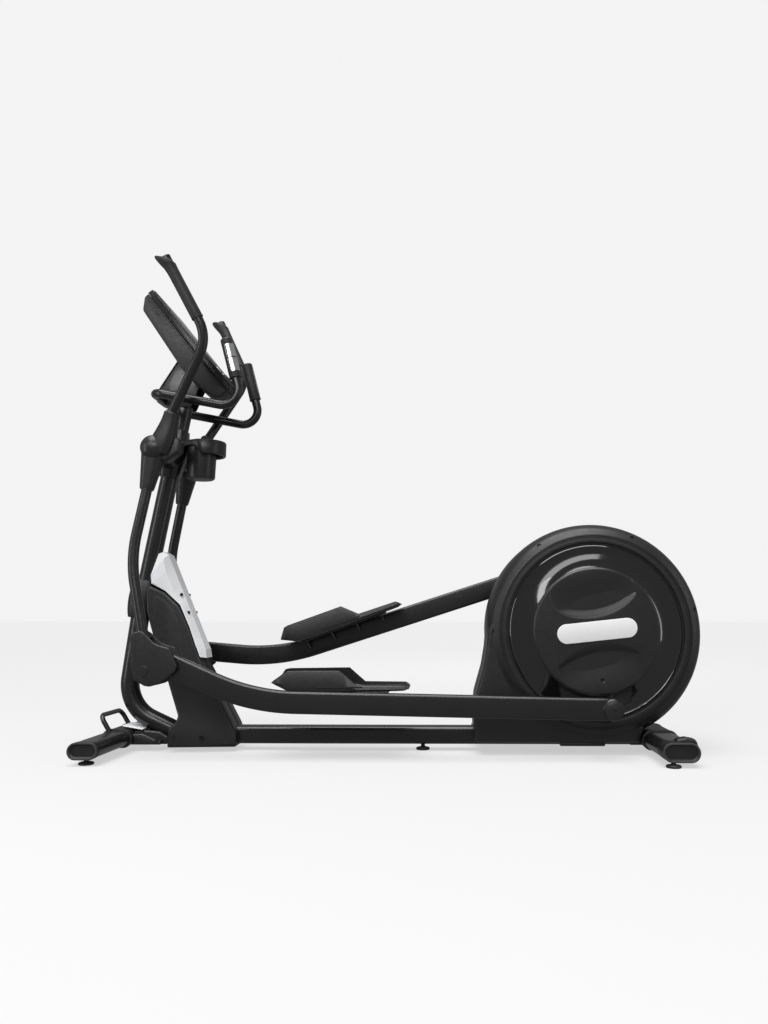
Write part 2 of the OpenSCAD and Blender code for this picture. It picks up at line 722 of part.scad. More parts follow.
guard_outline = [[0, 0], [-48, 36], [0, pedal_guard], [214, pedal_guard], [268, 38], [400, 34],
    [pedal_l - 48, 10], [pedal_l - 62, -pedal_floor], [60, -pedal_floor]];
module pedal(side) color(cover_black) place_arm(side)
    translate([pedal_at[0], 0, pedal_at[1]]) rotate([0, -pedal_pitch, 0]) difference() {
        slab(pedal_y0, pedal_y1) polygon(guard_outline);
        slab(pedal_y0 + 8, pedal_y1 - 8) polygon([[-34, 36], [6, 0], [pedal_l, 0], [pedal_l, 200],
            [6, 200]]);
        block([268, pedal_l], [pedal_y0 - 1, pedal_y0 + 9], [12, 100]);
    }

module crank_bolt(side) color(gloss_black) place_arm(side) at([arm_l, 0]) {
    rod([0, 0], boss_y1 + 0.5, arm_out + 3, pin_r);
    turned([[0, arm_out + 2], [30, arm_out + 2], [31, arm_out + 8], [27, arm_out + 15],
        [12, arm_out + 18], [0, arm_out + 18]]);
}

// ---------------------------------------------------------------- console
console_pt = [mast_x(mast_top_z) + 53.5, mast_top_z + 235];
bezel_t = 25;
console_half = console_w / 2;
key_r = 12;
key_y = 40;
key_at = 130;
bezel_outline = [[-230, 0], [230, 0], [252, -3], [265, -bezel_t], [-229.5, -bezel_t]];
back_outline = [[-229, -bezel_t], [265, -bezel_t], [269, -60], [262, -76], [2, -95], [-195, -75]];
// Drawn with +X down the sloping face and +Z out of it
module place_console() at(console_pt, -console_tilt) children();
module console_bezel() color(cover_black) place_console() difference() {
    slab(-console_half, console_half) polygon(bezel_outline);
    block([-190, 70], [-console_half + 35, console_half - 35], [-4, 1]);
    block([-215, 220], [-console_half + 15, console_half - 15], [-bezel_t - 1, -18]);
    for (s = [LEFT, RIGHT]) translate([key_at, s * key_y, -14]) cylinder(h = 20, r = key_r + 0.4);
}
module console_back() color(gloss_black) place_console() difference() {
    slab(-console_half, console_half) polygon(back_outline);
    slab(-console_half + skin, console_half - skin)
        polygon([[-222, -bezel_t + 1], [258, -bezel_t + 1], [258, -70], [2, -91], [-190, -71]]);
}
module console_screen() color("gray") place_console()
    block([-189.5, 69.5], [-console_half + 35.5, console_half - 35.5], [-4, -1]);
module console_key(s) color(panel_white) place_console() translate([key_at, s * key_y, -10])
    cylinder(h = 12, r = key_r);
module console_bracket() color(frame_black) difference() {
    slab(-32, 32) polygon([[mast_top[0] - 34, mast_top_z - 12], [mast_top[0] + 32, mast_top_z - 12],
        [mast_top[0] + 75, mast_top_z + 100], [mast_top[0] - 4, mast_top_z + 190]]);
    place_console() block([-300, 400], [-200, 200], [-96, 200]);
    slab(-28, 28) polygon([[mast_top[0] - 22, mast_top_z - 1], [mast_top[0] + 22, mast_top_z - 1],
        [mast_top[0] + 62, mast_top_z + 90], [mast_top[0] - 2, mast_top_z + 176]]);
    mast_bar(mast_r, mast_foot_z, mast_top_z);
    fixed_bar(fixed_r);
}

// ---------------------------------------------------------------- fixed handlebar
fixed_r = 16;
fixed_y = 152;
fixed_z = mast_top_z - 8;
fixed_x = mast_x(fixed_z) - mast_r - fixed_r + 1;
grip_r = 19.5;
fixed_corner = [fixed_x + 314, fixed_z - 70];
fixed_top = [fixed_x + 236, fixed_z + 214];
fixed_path = [[fixed_x, -20, fixed_z], [fixed_x, fixed_y, fixed_z],
    [fixed_corner[0], fixed_y, fixed_corner[1]], [fixed_top[0], fixed_y, fixed_top[1]]];
fixed_bends = [46, 55];
fixed_dir = unit(fixed_path[3] - fixed_path[2]);
fixed_grip_len = 165;
module fixed_bar(r) for (side = [LEFT, RIGHT]) flip(side) bar(fixed_path, fixed_bends, r);
module fixed_handlebar() color(frame_black) difference() {
    fixed_bar(fixed_r);
    fixed_bar(fixed_r - wall);
    mast_bar(mast_r, mast_top_z - 100, mast_top_z);
}
module at_fixed_grip() for (side = [LEFT, RIGHT]) flip(side)
    translate(fixed_path[3] - fixed_dir * fixed_grip_len) aim(fixed_dir) children();
module fixed_grips() color(gloss_black) at_fixed_grip() difference() {
    cylinder(h = fixed_grip_len + 5, r = grip_r);
    translate([0, 0, -1]) cylinder(h = fixed_grip_len + 1, r = fixed_r);
}
module pulse_plates() color(steel) at_fixed_grip() for (a = [35, 215]) rotate([0, 0, a])
    translate([0, 0, 36]) rotate_extrude(angle = 110) translate([grip_r, 0]) square([1.2, 92]);

// ---------------------------------------------------------------- cup holder
cup_r = 56;
cup_top_z = pivot_z + 62;
cup_h = 140;
cup_x = mast_x(cup_top_z) + mast_r + 4 + cup_r + 8;
module cup_holder() color(cover_black) difference() {
    union() {
        translate([cup_x, 0, cup_top_z - 46]) cylinder(h = 46, r = cup_r + 8);
        block([mast_x(cup_top_z), cup_x], [-34, 34], [cup_top_z - 30, cup_top_z]);
        translate([cup_x, 0, cup_top_z - cup_h]) cylinder(h = cup_h, r1 = cup_r - 5, r2 = cup_r);
    }
    translate([cup_x, 0, cup_top_z - cup_h + 4]) cylinder(h = cup_h, r1 = cup_r - 9, r2 = cup_r - 3);
    mast_bar(mast_r, pivot_z - 100, mast_top_z);
    rod(pivot_pt, -head_y, head_y, head_r + 0.5);
}

// Half of what the housing reaches back past the lift handle's reach forward
centre_x = (crank_x + housing_r - wheel_pt[0] - wheel_r) / 2;
module centred() translate([-centre_x, 0, 0]) children();

centred() base_beam();
centred() neck_tube();
centred() mast();
centred() mast_brace();
centred() mast_collar();
centred() pivot_axle();
centred() floor_tube(front_pt, front_w, front_h, half_w - cap_t);  // front_stabilizer
centred() floor_tube(rear_pt, rear_w, rear_h, half_w - rear_cap_len);  // rear_stabilizer
centred() end_caps();
centred() levelling_feet();
centred() front_saddle();
centred() lift_handle();
centred() shroud_half(LEFT);  // shroud_left
centred() shroud_half(RIGHT);  // shroud_right
centred() shroud_panel();
centred() housing_half(LEFT);  // housing_left
centred() housing_half(RIGHT);  // housing_right
centred() housing_screws();
centred() drive_frame();
centred() drive_bearings();
centred() drive_belt();
centred() resistance_motor();
centred() power_inlet();
centred() console_bezel();
centred() console_back();
centred() console_screen();
centred() console_bracket();
centred() fixed_handlebar();
centred() fixed_grips();
centred() pulse_plates();
centred() cup_holder();
centred() crank_axle();
centred() drive_pulley();
centred() crank_arms();
centred() side_dishes();
centred() inner_caps();
centred() flywheel();
centred() brake_caliper();
centred() transport_wheel(LEFT);  // transport_wheel_left
centred() transport_wheel(RIGHT);  // transport_wheel_right
centred() console_key(LEFT);  // key_start
centred() console_key(RIGHT);  // key_stop
centred() swing_tube(LEFT);  // swing_tube_left
centred() swing_tube(RIGHT);  // swing_tube_right
centred() swing_socket(LEFT);  // swing_socket_left
centred() swing_socket(RIGHT);  // swing_socket_right
centred() swing_handle(LEFT);  // swing_handle_left
centred() swing_handle(RIGHT);  // swing_handle_right
centred() swing_grip(LEFT);  // swing_grip_left
centred() swing_grip(RIGHT);  // swing_grip_right
centred() swing_cover(LEFT);  // swing_cover_left
centred() swing_cover(RIGHT);  // swing_cover_right
centred() lower_axle(LEFT);  // lower_axle_left
centred() lower_axle(RIGHT);  // lower_axle_right
centred() pedal_arm(LEFT);  // pedal_arm_left
centred() pedal_arm(RIGHT);  // pedal_arm_right
centred() pedal(LEFT);  // pedal_left
centred() pedal(RIGHT);  // pedal_right
centred() crank_bolt(LEFT);  // crank_bolt_left
centred() crank_bolt(RIGHT);  // crank_bolt_right
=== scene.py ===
"""Looks of a rear-drive elliptical trainer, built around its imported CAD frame.

Sizes are in millimetres from the middle of the base, with +Z up and the floor at zero, until
`Place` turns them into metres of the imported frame. Left is -Y. A swing arm, a pedal arm and a
crank each have a frame of their own, drawn for the right side and mirrored for the left.
"""

import json
import logging
import math
from dataclasses import dataclass, field
from enum import Enum
from typing import Callable, Optional, Sequence

import bpy
import numpy as np
from numpy.typing import NDArray
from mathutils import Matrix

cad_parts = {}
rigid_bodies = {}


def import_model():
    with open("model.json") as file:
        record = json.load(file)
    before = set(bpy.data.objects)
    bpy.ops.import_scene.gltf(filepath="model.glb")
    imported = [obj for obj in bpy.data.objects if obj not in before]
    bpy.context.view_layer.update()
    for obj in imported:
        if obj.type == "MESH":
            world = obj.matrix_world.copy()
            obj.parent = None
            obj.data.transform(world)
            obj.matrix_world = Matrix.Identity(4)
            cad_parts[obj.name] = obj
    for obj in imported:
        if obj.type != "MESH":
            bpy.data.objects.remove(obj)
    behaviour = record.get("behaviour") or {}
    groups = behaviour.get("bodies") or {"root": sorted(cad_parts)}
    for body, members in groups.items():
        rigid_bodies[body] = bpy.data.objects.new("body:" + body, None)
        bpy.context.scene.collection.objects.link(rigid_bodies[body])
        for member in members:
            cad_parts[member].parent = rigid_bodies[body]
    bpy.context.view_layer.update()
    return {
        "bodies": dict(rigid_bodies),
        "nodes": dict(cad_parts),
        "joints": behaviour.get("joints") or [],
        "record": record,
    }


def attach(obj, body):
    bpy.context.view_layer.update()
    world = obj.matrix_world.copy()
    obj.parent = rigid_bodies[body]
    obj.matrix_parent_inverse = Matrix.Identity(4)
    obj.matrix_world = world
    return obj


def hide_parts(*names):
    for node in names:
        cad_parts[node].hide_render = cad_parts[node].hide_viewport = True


Array = NDArray[np.float64]
LOG = logging.getLogger("trainer")
MM = 0.001
BASE_MIDDLE = -45.5
LEFT, RIGHT = -1, 1
SIDES = {"left": LEFT, "right": RIGHT}


class Pattern(Enum):
    """What kind of relief a finish carries."""

    GRAIN = "fine moulded or sprayed grain"
    BRUSHED = "long streaks from turning or brushing"
    RIBBED = "close rings around the piece's length"
    CAST = "coarse pits"


@dataclass(frozen=True)
class Finish:
    """One surface finish, built as a node material on Object coordinates."""

    name: str
    color: tuple[float, float, float]
    roughness: float
    pattern: Pattern = Pattern.GRAIN
    scale: float = 900.0
    depth: float = 0.00012
    mottle: float = 0.12
    metallic: float = 0.0
    coat: float = 0.0
    specular: float = 0.5
    sheen: float = 0.0

    def build(self) -> bpy.types.Material:
        """Makes the node material.

        Returns:
            The material: colour and roughness drift with a wide noise, relief is a fine noise,
            streaks, rings or pits, and scattered faint scuffs lower the gloss.
        """
        mat = bpy.data.materials.new(self.name)
        mat.use_nodes = True
        tree = mat.node_tree
        shader = tree.nodes["Principled BSDF"]
        shader.inputs["Metallic"].default_value = self.metallic
        shader.inputs["Coat Weight"].default_value = self.coat
        shader.inputs["Coat Roughness"].default_value = 0.06
        shader.inputs["Specular IOR Level"].default_value = self.specular
        shader.inputs["Sheen Weight"].default_value = self.sheen
        coords = tree.nodes.new("ShaderNodeTexCoord")
        drift = self._noise(tree, coords, 7.0, 4.0)
        scuff = self._noise(tree, coords, 60.0, 6.0)
        tint = tree.nodes.new("ShaderNodeValToRGB")
        low = tuple(c * (1 - self.mottle) for c in self.color)
        high = tuple(min(1.0, c * (1 + self.mottle)) for c in self.color)
        tint.color_ramp.elements[0].position, tint.color_ramp.elements[1].position = 0.32, 0.68
        tint.color_ramp.elements[0].color = (*low, 1)
        tint.color_ramp.elements[1].color = (*high, 1)
        tree.links.new(drift.outputs["Fac"], tint.inputs["Fac"])
        tree.links.new(tint.outputs["Color"], shader.inputs["Base Color"])
        spread = tree.nodes.new("ShaderNodeMapRange")
        spread.inputs["From Min"].default_value, spread.inputs["From Max"].default_value = 0.3, 0.7
        spread.inputs["To Min"].default_value = max(0.02, self.roughness * 0.88)
        spread.inputs["To Max"].default_value = min(1.0, self.roughness * 1.14)
        tree.links.new(scuff.outputs["Fac"], spread.inputs["Value"])
        tree.links.new(spread.outputs["Result"], shader.inputs["Roughness"])
        bump = tree.nodes.new("ShaderNodeBump")
        bump.inputs["Strength"].default_value = 0.6
        bump.inputs["Distance"].default_value = self.depth
        tree.links.new(self._relief(tree, coords), bump.inputs["Height"])
        tree.links.new(bump.outputs["Normal"], shader.inputs["Normal"])
        return mat

    def _noise(self, tree: bpy.types.NodeTree, coords: bpy.types.Node, scale: float,
               detail: float) -> bpy.types.Node:
        """Adds a noise node read on Object coordinates."""
        node = tree.nodes.new("ShaderNodeTexNoise")
        node.inputs["Scale"].default_value = scale
        node.inputs["Detail"].default_value = detail
        tree.links.new(coords.outputs["Object"], node.inputs["Vector"])
        return node

    def _relief(self, tree: bpy.types.NodeTree, coords: bpy.types.Node) -> bpy.types.NodeSocket:
        """Adds the height pattern.

        Args:
            tree: The material's node tree.
            coords: Its texture coordinate node.

        Returns:
            The socket that holds the height, from 0 to 1.
        """
        if self.pattern is Pattern.RIBBED:
            rings = tree.nodes.new("ShaderNodeTexWave")
            rings.bands_direction = "Z"
            rings.inputs["Scale"].default_value = self.scale
            rings.inputs["Distortion"].default_value = 0.6
            rings.inputs["Detail Scale"].default_value = 4.0
            tree.links.new(coords.outputs["Object"], rings.inputs["Vector"])
            return rings.outputs["Fac"]
        if self.pattern is Pattern.BRUSHED:
            stretch = tree.nodes.new("ShaderNodeMapping")
            stretch.inputs["Scale"].default_value = (0.04, 1.0, 0.04)
            tree.links.new(coords.outputs["Object"], stretch.inputs["Vector"])
            streaks = tree.nodes.new("ShaderNodeTexNoise")
            streaks.inputs["Scale"].default_value = self.scale
            tree.links.new(stretch.outputs["Vector"], streaks.inputs["Vector"])
            return streaks.outputs["Fac"]
        if self.pattern is Pattern.CAST:
            pits = tree.nodes.new("ShaderNodeTexVoronoi")
            pits.inputs["Scale"].default_value = self.scale
            tree.links.new(coords.outputs["Object"], pits.inputs["Vector"])
            return pits.outputs["Distance"]
        return self._noise(tree, coords, self.scale, 2.0).outputs["Fac"]


POWDER = Finish("powder_coat", (0.0085, 0.0085, 0.0090), 0.30, scale=700, depth=0.00008, coat=0.15)
SHELL = Finish("moulded_shell", (0.0110, 0.0110, 0.0118), 0.40, scale=1400, depth=0.00010)
SHELL_SOFT = Finish("moulded_cap", (0.0130, 0.0130, 0.0138), 0.34, scale=1600, depth=0.00006)
GLOSS = Finish("polished_dish", (0.006, 0.006, 0.0065), 0.10, scale=300, depth=0.00001, coat=0.6)
PALE = Finish("pale_panel", (0.88, 0.89, 0.91), 0.42, scale=1500, depth=0.00008, mottle=0.03)
BADGE = Finish("white_badge", (0.88, 0.88, 0.88), 0.30, scale=500, depth=0.00002, mottle=0.02)
RUBBER = Finish("black_rubber", (0.008, 0.008, 0.008), 0.58, scale=500, depth=0.00015, sheen=0.1)
GRIP = Finish("soft_grip", (0.009, 0.009, 0.0095), 0.50, Pattern.RIBBED, 62, 0.00012, sheen=0.1)
TREAD = Finish("pedal_plastic", (0.010, 0.010, 0.011), 0.38, scale=1000, depth=0.00014)
CHROME = Finish("chrome", (0.72, 0.73, 0.75), 0.20, scale=40, depth=0.00001, mottle=0.03, metallic=1)
STEEL = Finish("turned_steel", (0.45, 0.46, 0.48), 0.32, Pattern.BRUSHED, 900, 0.00006, metallic=1)
CAST = Finish("cast_metal", (0.10, 0.10, 0.11), 0.55, Pattern.CAST, 420, 0.0003, metallic=0.6)
RIM = Finish("end_rim", (0.045, 0.045, 0.048), 0.42, scale=1200, depth=0.00008)
GLASS = Finish("display_window", (0.34, 0.36, 0.38), 0.16, scale=200, depth=0.00001, coat=0.5)
# Near-black, far darker than the machine's other blacks. On the pedal and console slots it is painted shade
# standing in for the inside of the openings. On the screws it is their own black plus painted shade in
# their wells. On the cap seam it is the dark joint.
BLACK_AND_SHADE = Finish("black_and_recess_shade", (0.002, 0.002, 0.002), 0.60, scale=700, depth=0.00008)
FACE = Finish("console_face", (0.012, 0.012, 0.013), 0.30, scale=1100, depth=0.00006)


class Wardrobe:
    """Builds each finish once and hands it out."""

    def __init__(self) -> None:
        """Starts with no materials."""
        self._made: dict[str, bpy.types.Material] = {}

    def get(self, finish: Finish) -> bpy.types.Material:
        """The material of a finish."""
        if finish.name not in self._made:
            self._made[finish.name] = finish.build()
        return self._made[finish.name]


# --------------------------------------------------------------------------- outlines and paths


def unit(v: Array) -> Array:
    """Rows of v at length one."""
    return v / np.linalg.norm(v, axis=-1, keepdims=True)


def ring(radius: float, n: int = 40) -> Array:
    """n points around a circle: (r cos t, r sin t)."""
    t = np.arange(n) * (2 * math.pi / n)
    return radius * np.stack([np.cos(t), np.sin(t)], 1)


def fillet(points: Sequence[Sequence[float]], radii: Sequence[float] | float, n: int = 7,
           closed: bool = True) -> Array:
    """Rounds the corners of a path, in two or three dimensions.

    Each corner becomes an arc that leaves the first leg a tangent length r tan(turn / 2) before
    the corner: p(s) = o + r (-n cos s + a sin s), for s from 0 to the turn.

    Args:
        points: The corners in order.
        radii: One radius for all corners, or one for each.
        n: Points on each arc.
        closed: Whether the last corner joins the first.

    Returns:
        The rounded points, as rows.
    """
    p = np.asarray(points, float)
    r = np.broadcast_to(np.asarray(radii, float), (len(p),)).copy()
    before, after = p - np.roll(p, 1, 0), np.roll(p, -1, 0) - p
    if not closed:
        before[0], after[-1] = after[0], before[-1]
    a, c = unit(before), unit(after)
    turn = np.arccos(np.clip((a * c).sum(1), -1, 1))
    r[turn < 1e-4] = 0
    reach = np.minimum(np.linalg.norm(before, axis=1), np.linalg.norm(after, axis=1)) * 0.499
    tangent = np.minimum(r * np.tan(turn / 2), reach)
    radius = tangent / np.maximum(np.tan(turn / 2), 1e-9)
    side = c - a * (a * c).sum(1, keepdims=True)
    size = np.linalg.norm(side, axis=1, keepdims=True)
    side = side / np.maximum(size, 1e-12)
    centre = p - a * tangent[:, None] + side * radius[:, None]
    s = turn[:, None] * np.linspace(0, 1, n)[None]
    arcs = centre[:, None] + radius[:, None, None] * (
        -side[:, None] * np.cos(s)[..., None] + a[:, None] * np.sin(s)[..., None])
    rows = [arc if bend > 1e-9 else corner[None] for arc, bend, corner in zip(arcs, tangent, p)]
    return np.concatenate(rows)


def rounded_box(width: float, height: float, radius: float, n: int = 6) -> Array:
    """A rectangle about the origin with round corners."""
    w, h = width / 2, height / 2
    return fillet([(w, -h), (w, h), (-w, h), (-w, -h)], min(radius, w - 1e-3, h - 1e-3), n)


def spread(path: Array, step: float) -> Array:
    """The path with extra points on its long legs, so that none is much longer than step."""
    legs = np.linalg.norm(np.diff(path, axis=0), axis=1)
    parts = [path[i] + (path[i + 1] - path[i]) * np.arange(k)[:, None] / k
             for i, k in enumerate(np.maximum(1, np.round(legs / step)).astype(int))]
    return np.concatenate([*parts, path[-1:]])


def closed_spread(outline: Array, step: float) -> Array:
    """A closed outline with extra points on its long legs."""
    return spread(np.concatenate([outline, outline[:1]]), step)[:-1]


def inset(outline: Array, by: float) -> Array:
    """Moves a closed outline inwards: each point goes along the mean of its two leg normals."""
    a, c = unit(outline - np.roll(outline, 1, 0)), unit(np.roll(outline, -1, 0) - outline)
    turn = np.sign((outline[:, 0] * np.roll(outline[:, 1], -1)
                    - np.roll(outline[:, 0], -1) * outline[:, 1]).sum())
    normal = np.stack([-(a + c)[:, 1], (a + c)[:, 0]], 1) * turn
    length = np.linalg.norm(normal, axis=1, keepdims=True)
    normal = normal / np.maximum(length, 1e-9)
    return outline + normal * by / np.maximum(length / 2, 0.5)


def smooth(t: Array) -> Array:
    """The S curve t t (3 - 2 t) of t held between 0 and 1."""
    t = np.clip(t, 0, 1)
    return t * t * (3 - 2 * t)


# --------------------------------------------------------------------------- surfaces


@dataclass
class Skin:
    """Points and faces of one closed surface, in millimetres."""

    points: Array
    faces: list[list[int]]

    @staticmethod
    def from_grid(grid: Array, wrap_rows: bool = False, wrap_cols: bool = True,
                  caps: bool = True) -> "Skin":
        """Faces over a grid of points.

        Args:
            grid: Points as (rows, columns, 3).
            wrap_rows: Whether the last row joins the first.
            wrap_cols: Whether the last column joins the first.
            caps: Whether the first and last row are closed with a face each.

        Returns:
            The surface, its faces turned so that the volume inside is positive.
        """
        rows, cols = grid.shape[:2]
        index = np.arange(rows * cols).reshape(rows, cols)
        i = index if wrap_rows else index[:-1]
        j = np.roll(index, -1, 0) if wrap_rows else index[1:]
        if wrap_cols:
            quads = np.stack([i, np.roll(i, -1, 1), np.roll(j, -1, 1), j], -1).reshape(-1, 4)
        else:
            quads = np.stack([i[:, :-1], i[:, 1:], j[:, 1:], j[:, :-1]], -1).reshape(-1, 4)
        faces = quads.tolist()
        if caps and not wrap_rows:
            faces += [index[0, ::-1].tolist(), index[-1].tolist()]
        return Skin(grid.reshape(-1, 3), faces).outwards()

    def outwards(self) -> "Skin":
        """Turns every face round if the enclosed volume, the sum of p0 . (p1 x p2) / 6, is negative."""
        total = 0.0
        by_size: dict[int, list[list[int]]] = {}
        for face in self.faces:
            by_size.setdefault(len(face), []).append(face)
        middle = self.points.mean(0)
        for size, group in by_size.items():
            corner = self.points[np.array(group)] - middle
            for k in range(1, size - 1):
                total += float((corner[:, 0] * np.cross(corner[:, k], corner[:, k + 1])).sum())
        if total < 0:
            self.faces = [face[::-1] for face in self.faces]
        return self

    def moved(self, where: Callable[[Array], Array]) -> "Skin":
        """The same surface with its points carried by a function, turned outwards again."""
        return Skin(where(self.points), [list(f) for f in self.faces]).outwards()

    def __add__(self, other: "Skin") -> "Skin":
        """Both surfaces as one mesh."""
        shift = len(self.points)
        return Skin(np.concatenate([self.points, other.points]),
                    self.faces + [[k + shift for k in f] for f in other.faces])


def sweep(path: Array, section: Array, scale: Optional[Array] = None,
          start: Optional[Array] = None, crown: float = 0.0) -> Skin:
    """Carries a section along a path.

    The point of row i and column j is path[i] + scale[i] (x_j n_i + y_j b_i), where n and b turn
    with the path without twisting about it.

    Args:
        path: Points as (rows, 3).
        section: Closed section as (columns, 2).
        scale: How much each row's section is enlarged.
        start: A direction near which n starts. It is the section's x.
        crown: Radius of the round at both ends.

    Returns:
        The closed surface.
    """
    scale = np.ones(len(path)) if scale is None else np.asarray(scale, float)
    if crown > 0:
        half = np.abs(section).max()
        turn = np.linspace(0, math.pi / 2, 5)[1:]
        first, last = unit(path[1] - path[0]), unit(path[-1] - path[-2])
        drop = crown * (1 - np.cos(turn)) / half
        path = np.concatenate([(path[0] + first * crown * (1 - np.sin(turn))[:, None])[::-1],
                               path[0:1] + first * crown, path[1:-1], path[-1:] - last * crown,
                               path[-1] - last * crown * (1 - np.sin(turn))[:, None]])
        scale = np.concatenate([(scale[0] - drop)[::-1], scale[0:1], scale[1:-1], scale[-1:],
                                scale[-1] - drop])
    tangent = unit(np.gradient(path, axis=0))
    guess = np.array([0.0, 1.0, 0.0]) if start is None else np.asarray(start, float)
    normals = []
    for t in tangent:
        guess = guess - t * (guess @ t)
        guess = guess / np.linalg.norm(guess)
        normals.append(guess)
    n = np.array(normals)
    b = np.cross(tangent, n)
    grid = path[:, None] + scale[:, None, None] * (
        section[None, :, :1] * n[:, None] + section[None, :, 1:] * b[:, None])
    return Skin.from_grid(grid)


def turned(profile: Sequence[Sequence[float]], centre: Sequence[float] = (0, 0),
           n: int = 96, closed: bool = False) -> Skin:
    """Turns a profile about a line along Y.

    Args:
        profile: Points as (radius, y), from one end to the other.
        centre: Where the line crosses the X-Z plane.
        n: Points around.
        closed: Whether the profile is a ring in itself, as for a tyre.

    Returns:
        The closed surface: (cx + r cos t, y, cz + r sin t).
    """
    p = np.asarray(profile, float)
    t = np.arange(n) * (2 * math.pi / n)
    r, y = np.maximum(p[:, :1], 0.3), np.broadcast_to(p[:, 1:], (len(p), n))
    grid = np.stack([centre[0] + r * np.cos(t), y, centre[1] + r * np.sin(t)], -1)
    return Skin.from_grid(grid, wrap_rows=closed)


def plate(outline: Array, y0: float, y1: float, edge: float = 2.0, n: int = 4) -> Skin:
    """An X-Z outline drawn out from y0 to y1, with its rim rounded by a quarter circle.

    Args:
        outline: Closed outline as (points, 2).
        y0: One face.
        y1: The other face.
        edge: Radius of the round.
        n: Rows on each round.

    Returns:
        The closed surface.
    """
    edge = min(edge, abs(y1 - y0) * 0.49)
    s = np.linspace(0, math.pi / 2, n)
    depth, rise = edge * (1 - np.sin(s)), edge * (1 - np.cos(s))
    inward = np.concatenate([depth, depth[::-1]])
    y = np.concatenate([y0 + rise * np.sign(y1 - y0), (y1 - rise * np.sign(y1 - y0))[::-1]])
    rows = [inset(outline, d) if d > 1e-6 else outline for d in inward]
    grid = np.stack([np.insert(row, 1, level, axis=1) for row, level in zip(rows, y)])
    return Skin.from_grid(grid)


def dome(centre: Sequence[float], radius: float, y0: float, rise: float, lip: float = 3.0) -> Skin:
    """A round cap along +Y: a short wall, then a curved crown y = y0 + lip + rise (1 - (r / R)^2)."""
    r = np.linspace(1, 0, 12)
    crown = [(radius * k, y0 + lip + rise * (1 - k ** 2.2)) for k in r[1:]]
    foot = [(0, y0), (radius, y0), (radius, y0 + lip - 1), (radius - 0.7, y0 + lip)]
    return turned([*foot, *crown], centre, 64)


def screw(centre: Sequence[float], y: float, radius: float = 5.0) -> Skin:
    """A recessed screw seen along Y: a rolled rim, a well and a low head with a socket. The near-black
    finish its callers give it is the screw's own black plus painted shade in the well.
    """
    k = radius
    profile = [(0, y - 5), (k + 1.2, y - 5), (k + 1.2, y - 0.2), (k + 0.7, y + 0.4), (k, y + 0.2),
               (k - 0.4, y - 2.6), (k * 0.72, y - 2.4), (k * 0.62, y - 1.5), (k * 0.36, y - 1.4),
               (k * 0.34, y - 3), (0, y - 3)]
    return turned(profile, centre, 24)


# --------------------------------------------------------------------------- placing


@dataclass(frozen=True)
class Place:
    """A frame of the machine: a pivot in the X-Z plane, a turn that lifts +X, and a side."""

    x: float = 0.0
    z: float = 0.0
    angle: float = 0.0
    side: int = RIGHT

    def __call__(self, p: Array) -> Array:
        """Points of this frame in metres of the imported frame."""
        c, s = math.cos(math.radians(self.angle)), math.sin(math.radians(self.angle))
        x = self.x + p[:, 0] * c - p[:, 2] * s + BASE_MIDDLE
        z = self.z + p[:, 0] * s + p[:, 2] * c
        return np.stack([x, p[:, 1] * self.side, z], 1) * MM


@dataclass
class Workshop:
    """Puts finished surfaces into the scene and attaches them to the frame."""

    frame: dict
    wardrobe: Wardrobe = field(default_factory=Wardrobe)

    def __post_init__(self) -> None:
        """Reads which body and which slot each CAD node has."""
        record = self.frame["record"]
        self.body = {n: b for b, ns in record["behaviour"]["bodies"].items() for n in ns}
        self.slot = {s["node"]: s["material_slot"] for s in record["subparts"]}

    def add(self, name: str, skin: Skin, place: Place, finish: Finish, nodes: Sequence[str],
            hard: float = 32.0) -> bpy.types.Object:
        """Makes one piece.

        Args:
            name: The object's name.
            skin: Its surface, in the frame of `place`.
            place: Where that frame is.
            finish: Its finish.
            nodes: The CAD nodes it stands for, or one that it rides with, marked by a leading +.
            hard: Edges sharper than this many degrees stay sharp.

        Returns:
            The new object, at the origin, with its place in its mesh.
        """
        skin = skin.moved(place)
        mesh = bpy.data.meshes.new(name)
        mesh.from_pydata(skin.points.tolist(), [], skin.faces)
        mesh.polygons.foreach_set("use_smooth", np.ones(len(mesh.polygons), bool))
        mesh.set_sharp_from_angle(angle=math.radians(hard))
        mesh.materials.append(self.wardrobe.get(finish))
        mesh.update()
        obj = bpy.data.objects.new(name, mesh)
        bpy.context.scene.collection.objects.link(obj)
        first = nodes[0].lstrip("+")
        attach(obj, self.body[first])
        stands_for = [n for n in nodes if not n.startswith("+")]
        if stands_for:
            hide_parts(*stands_for)
        LOG.info("%s: %d faces, on %s", name, len(mesh.polygons), self.body[first])
        return obj

    def dress(self, finish: Finish, *nodes: str) -> None:
        """Gives CAD nodes that stay in view a finish."""
        for node in nodes:
            mesh = self.frame["nodes"][node].data
            mesh.materials.clear()
            mesh.materials.append(self.wardrobe.get(finish))


BASE = Place()


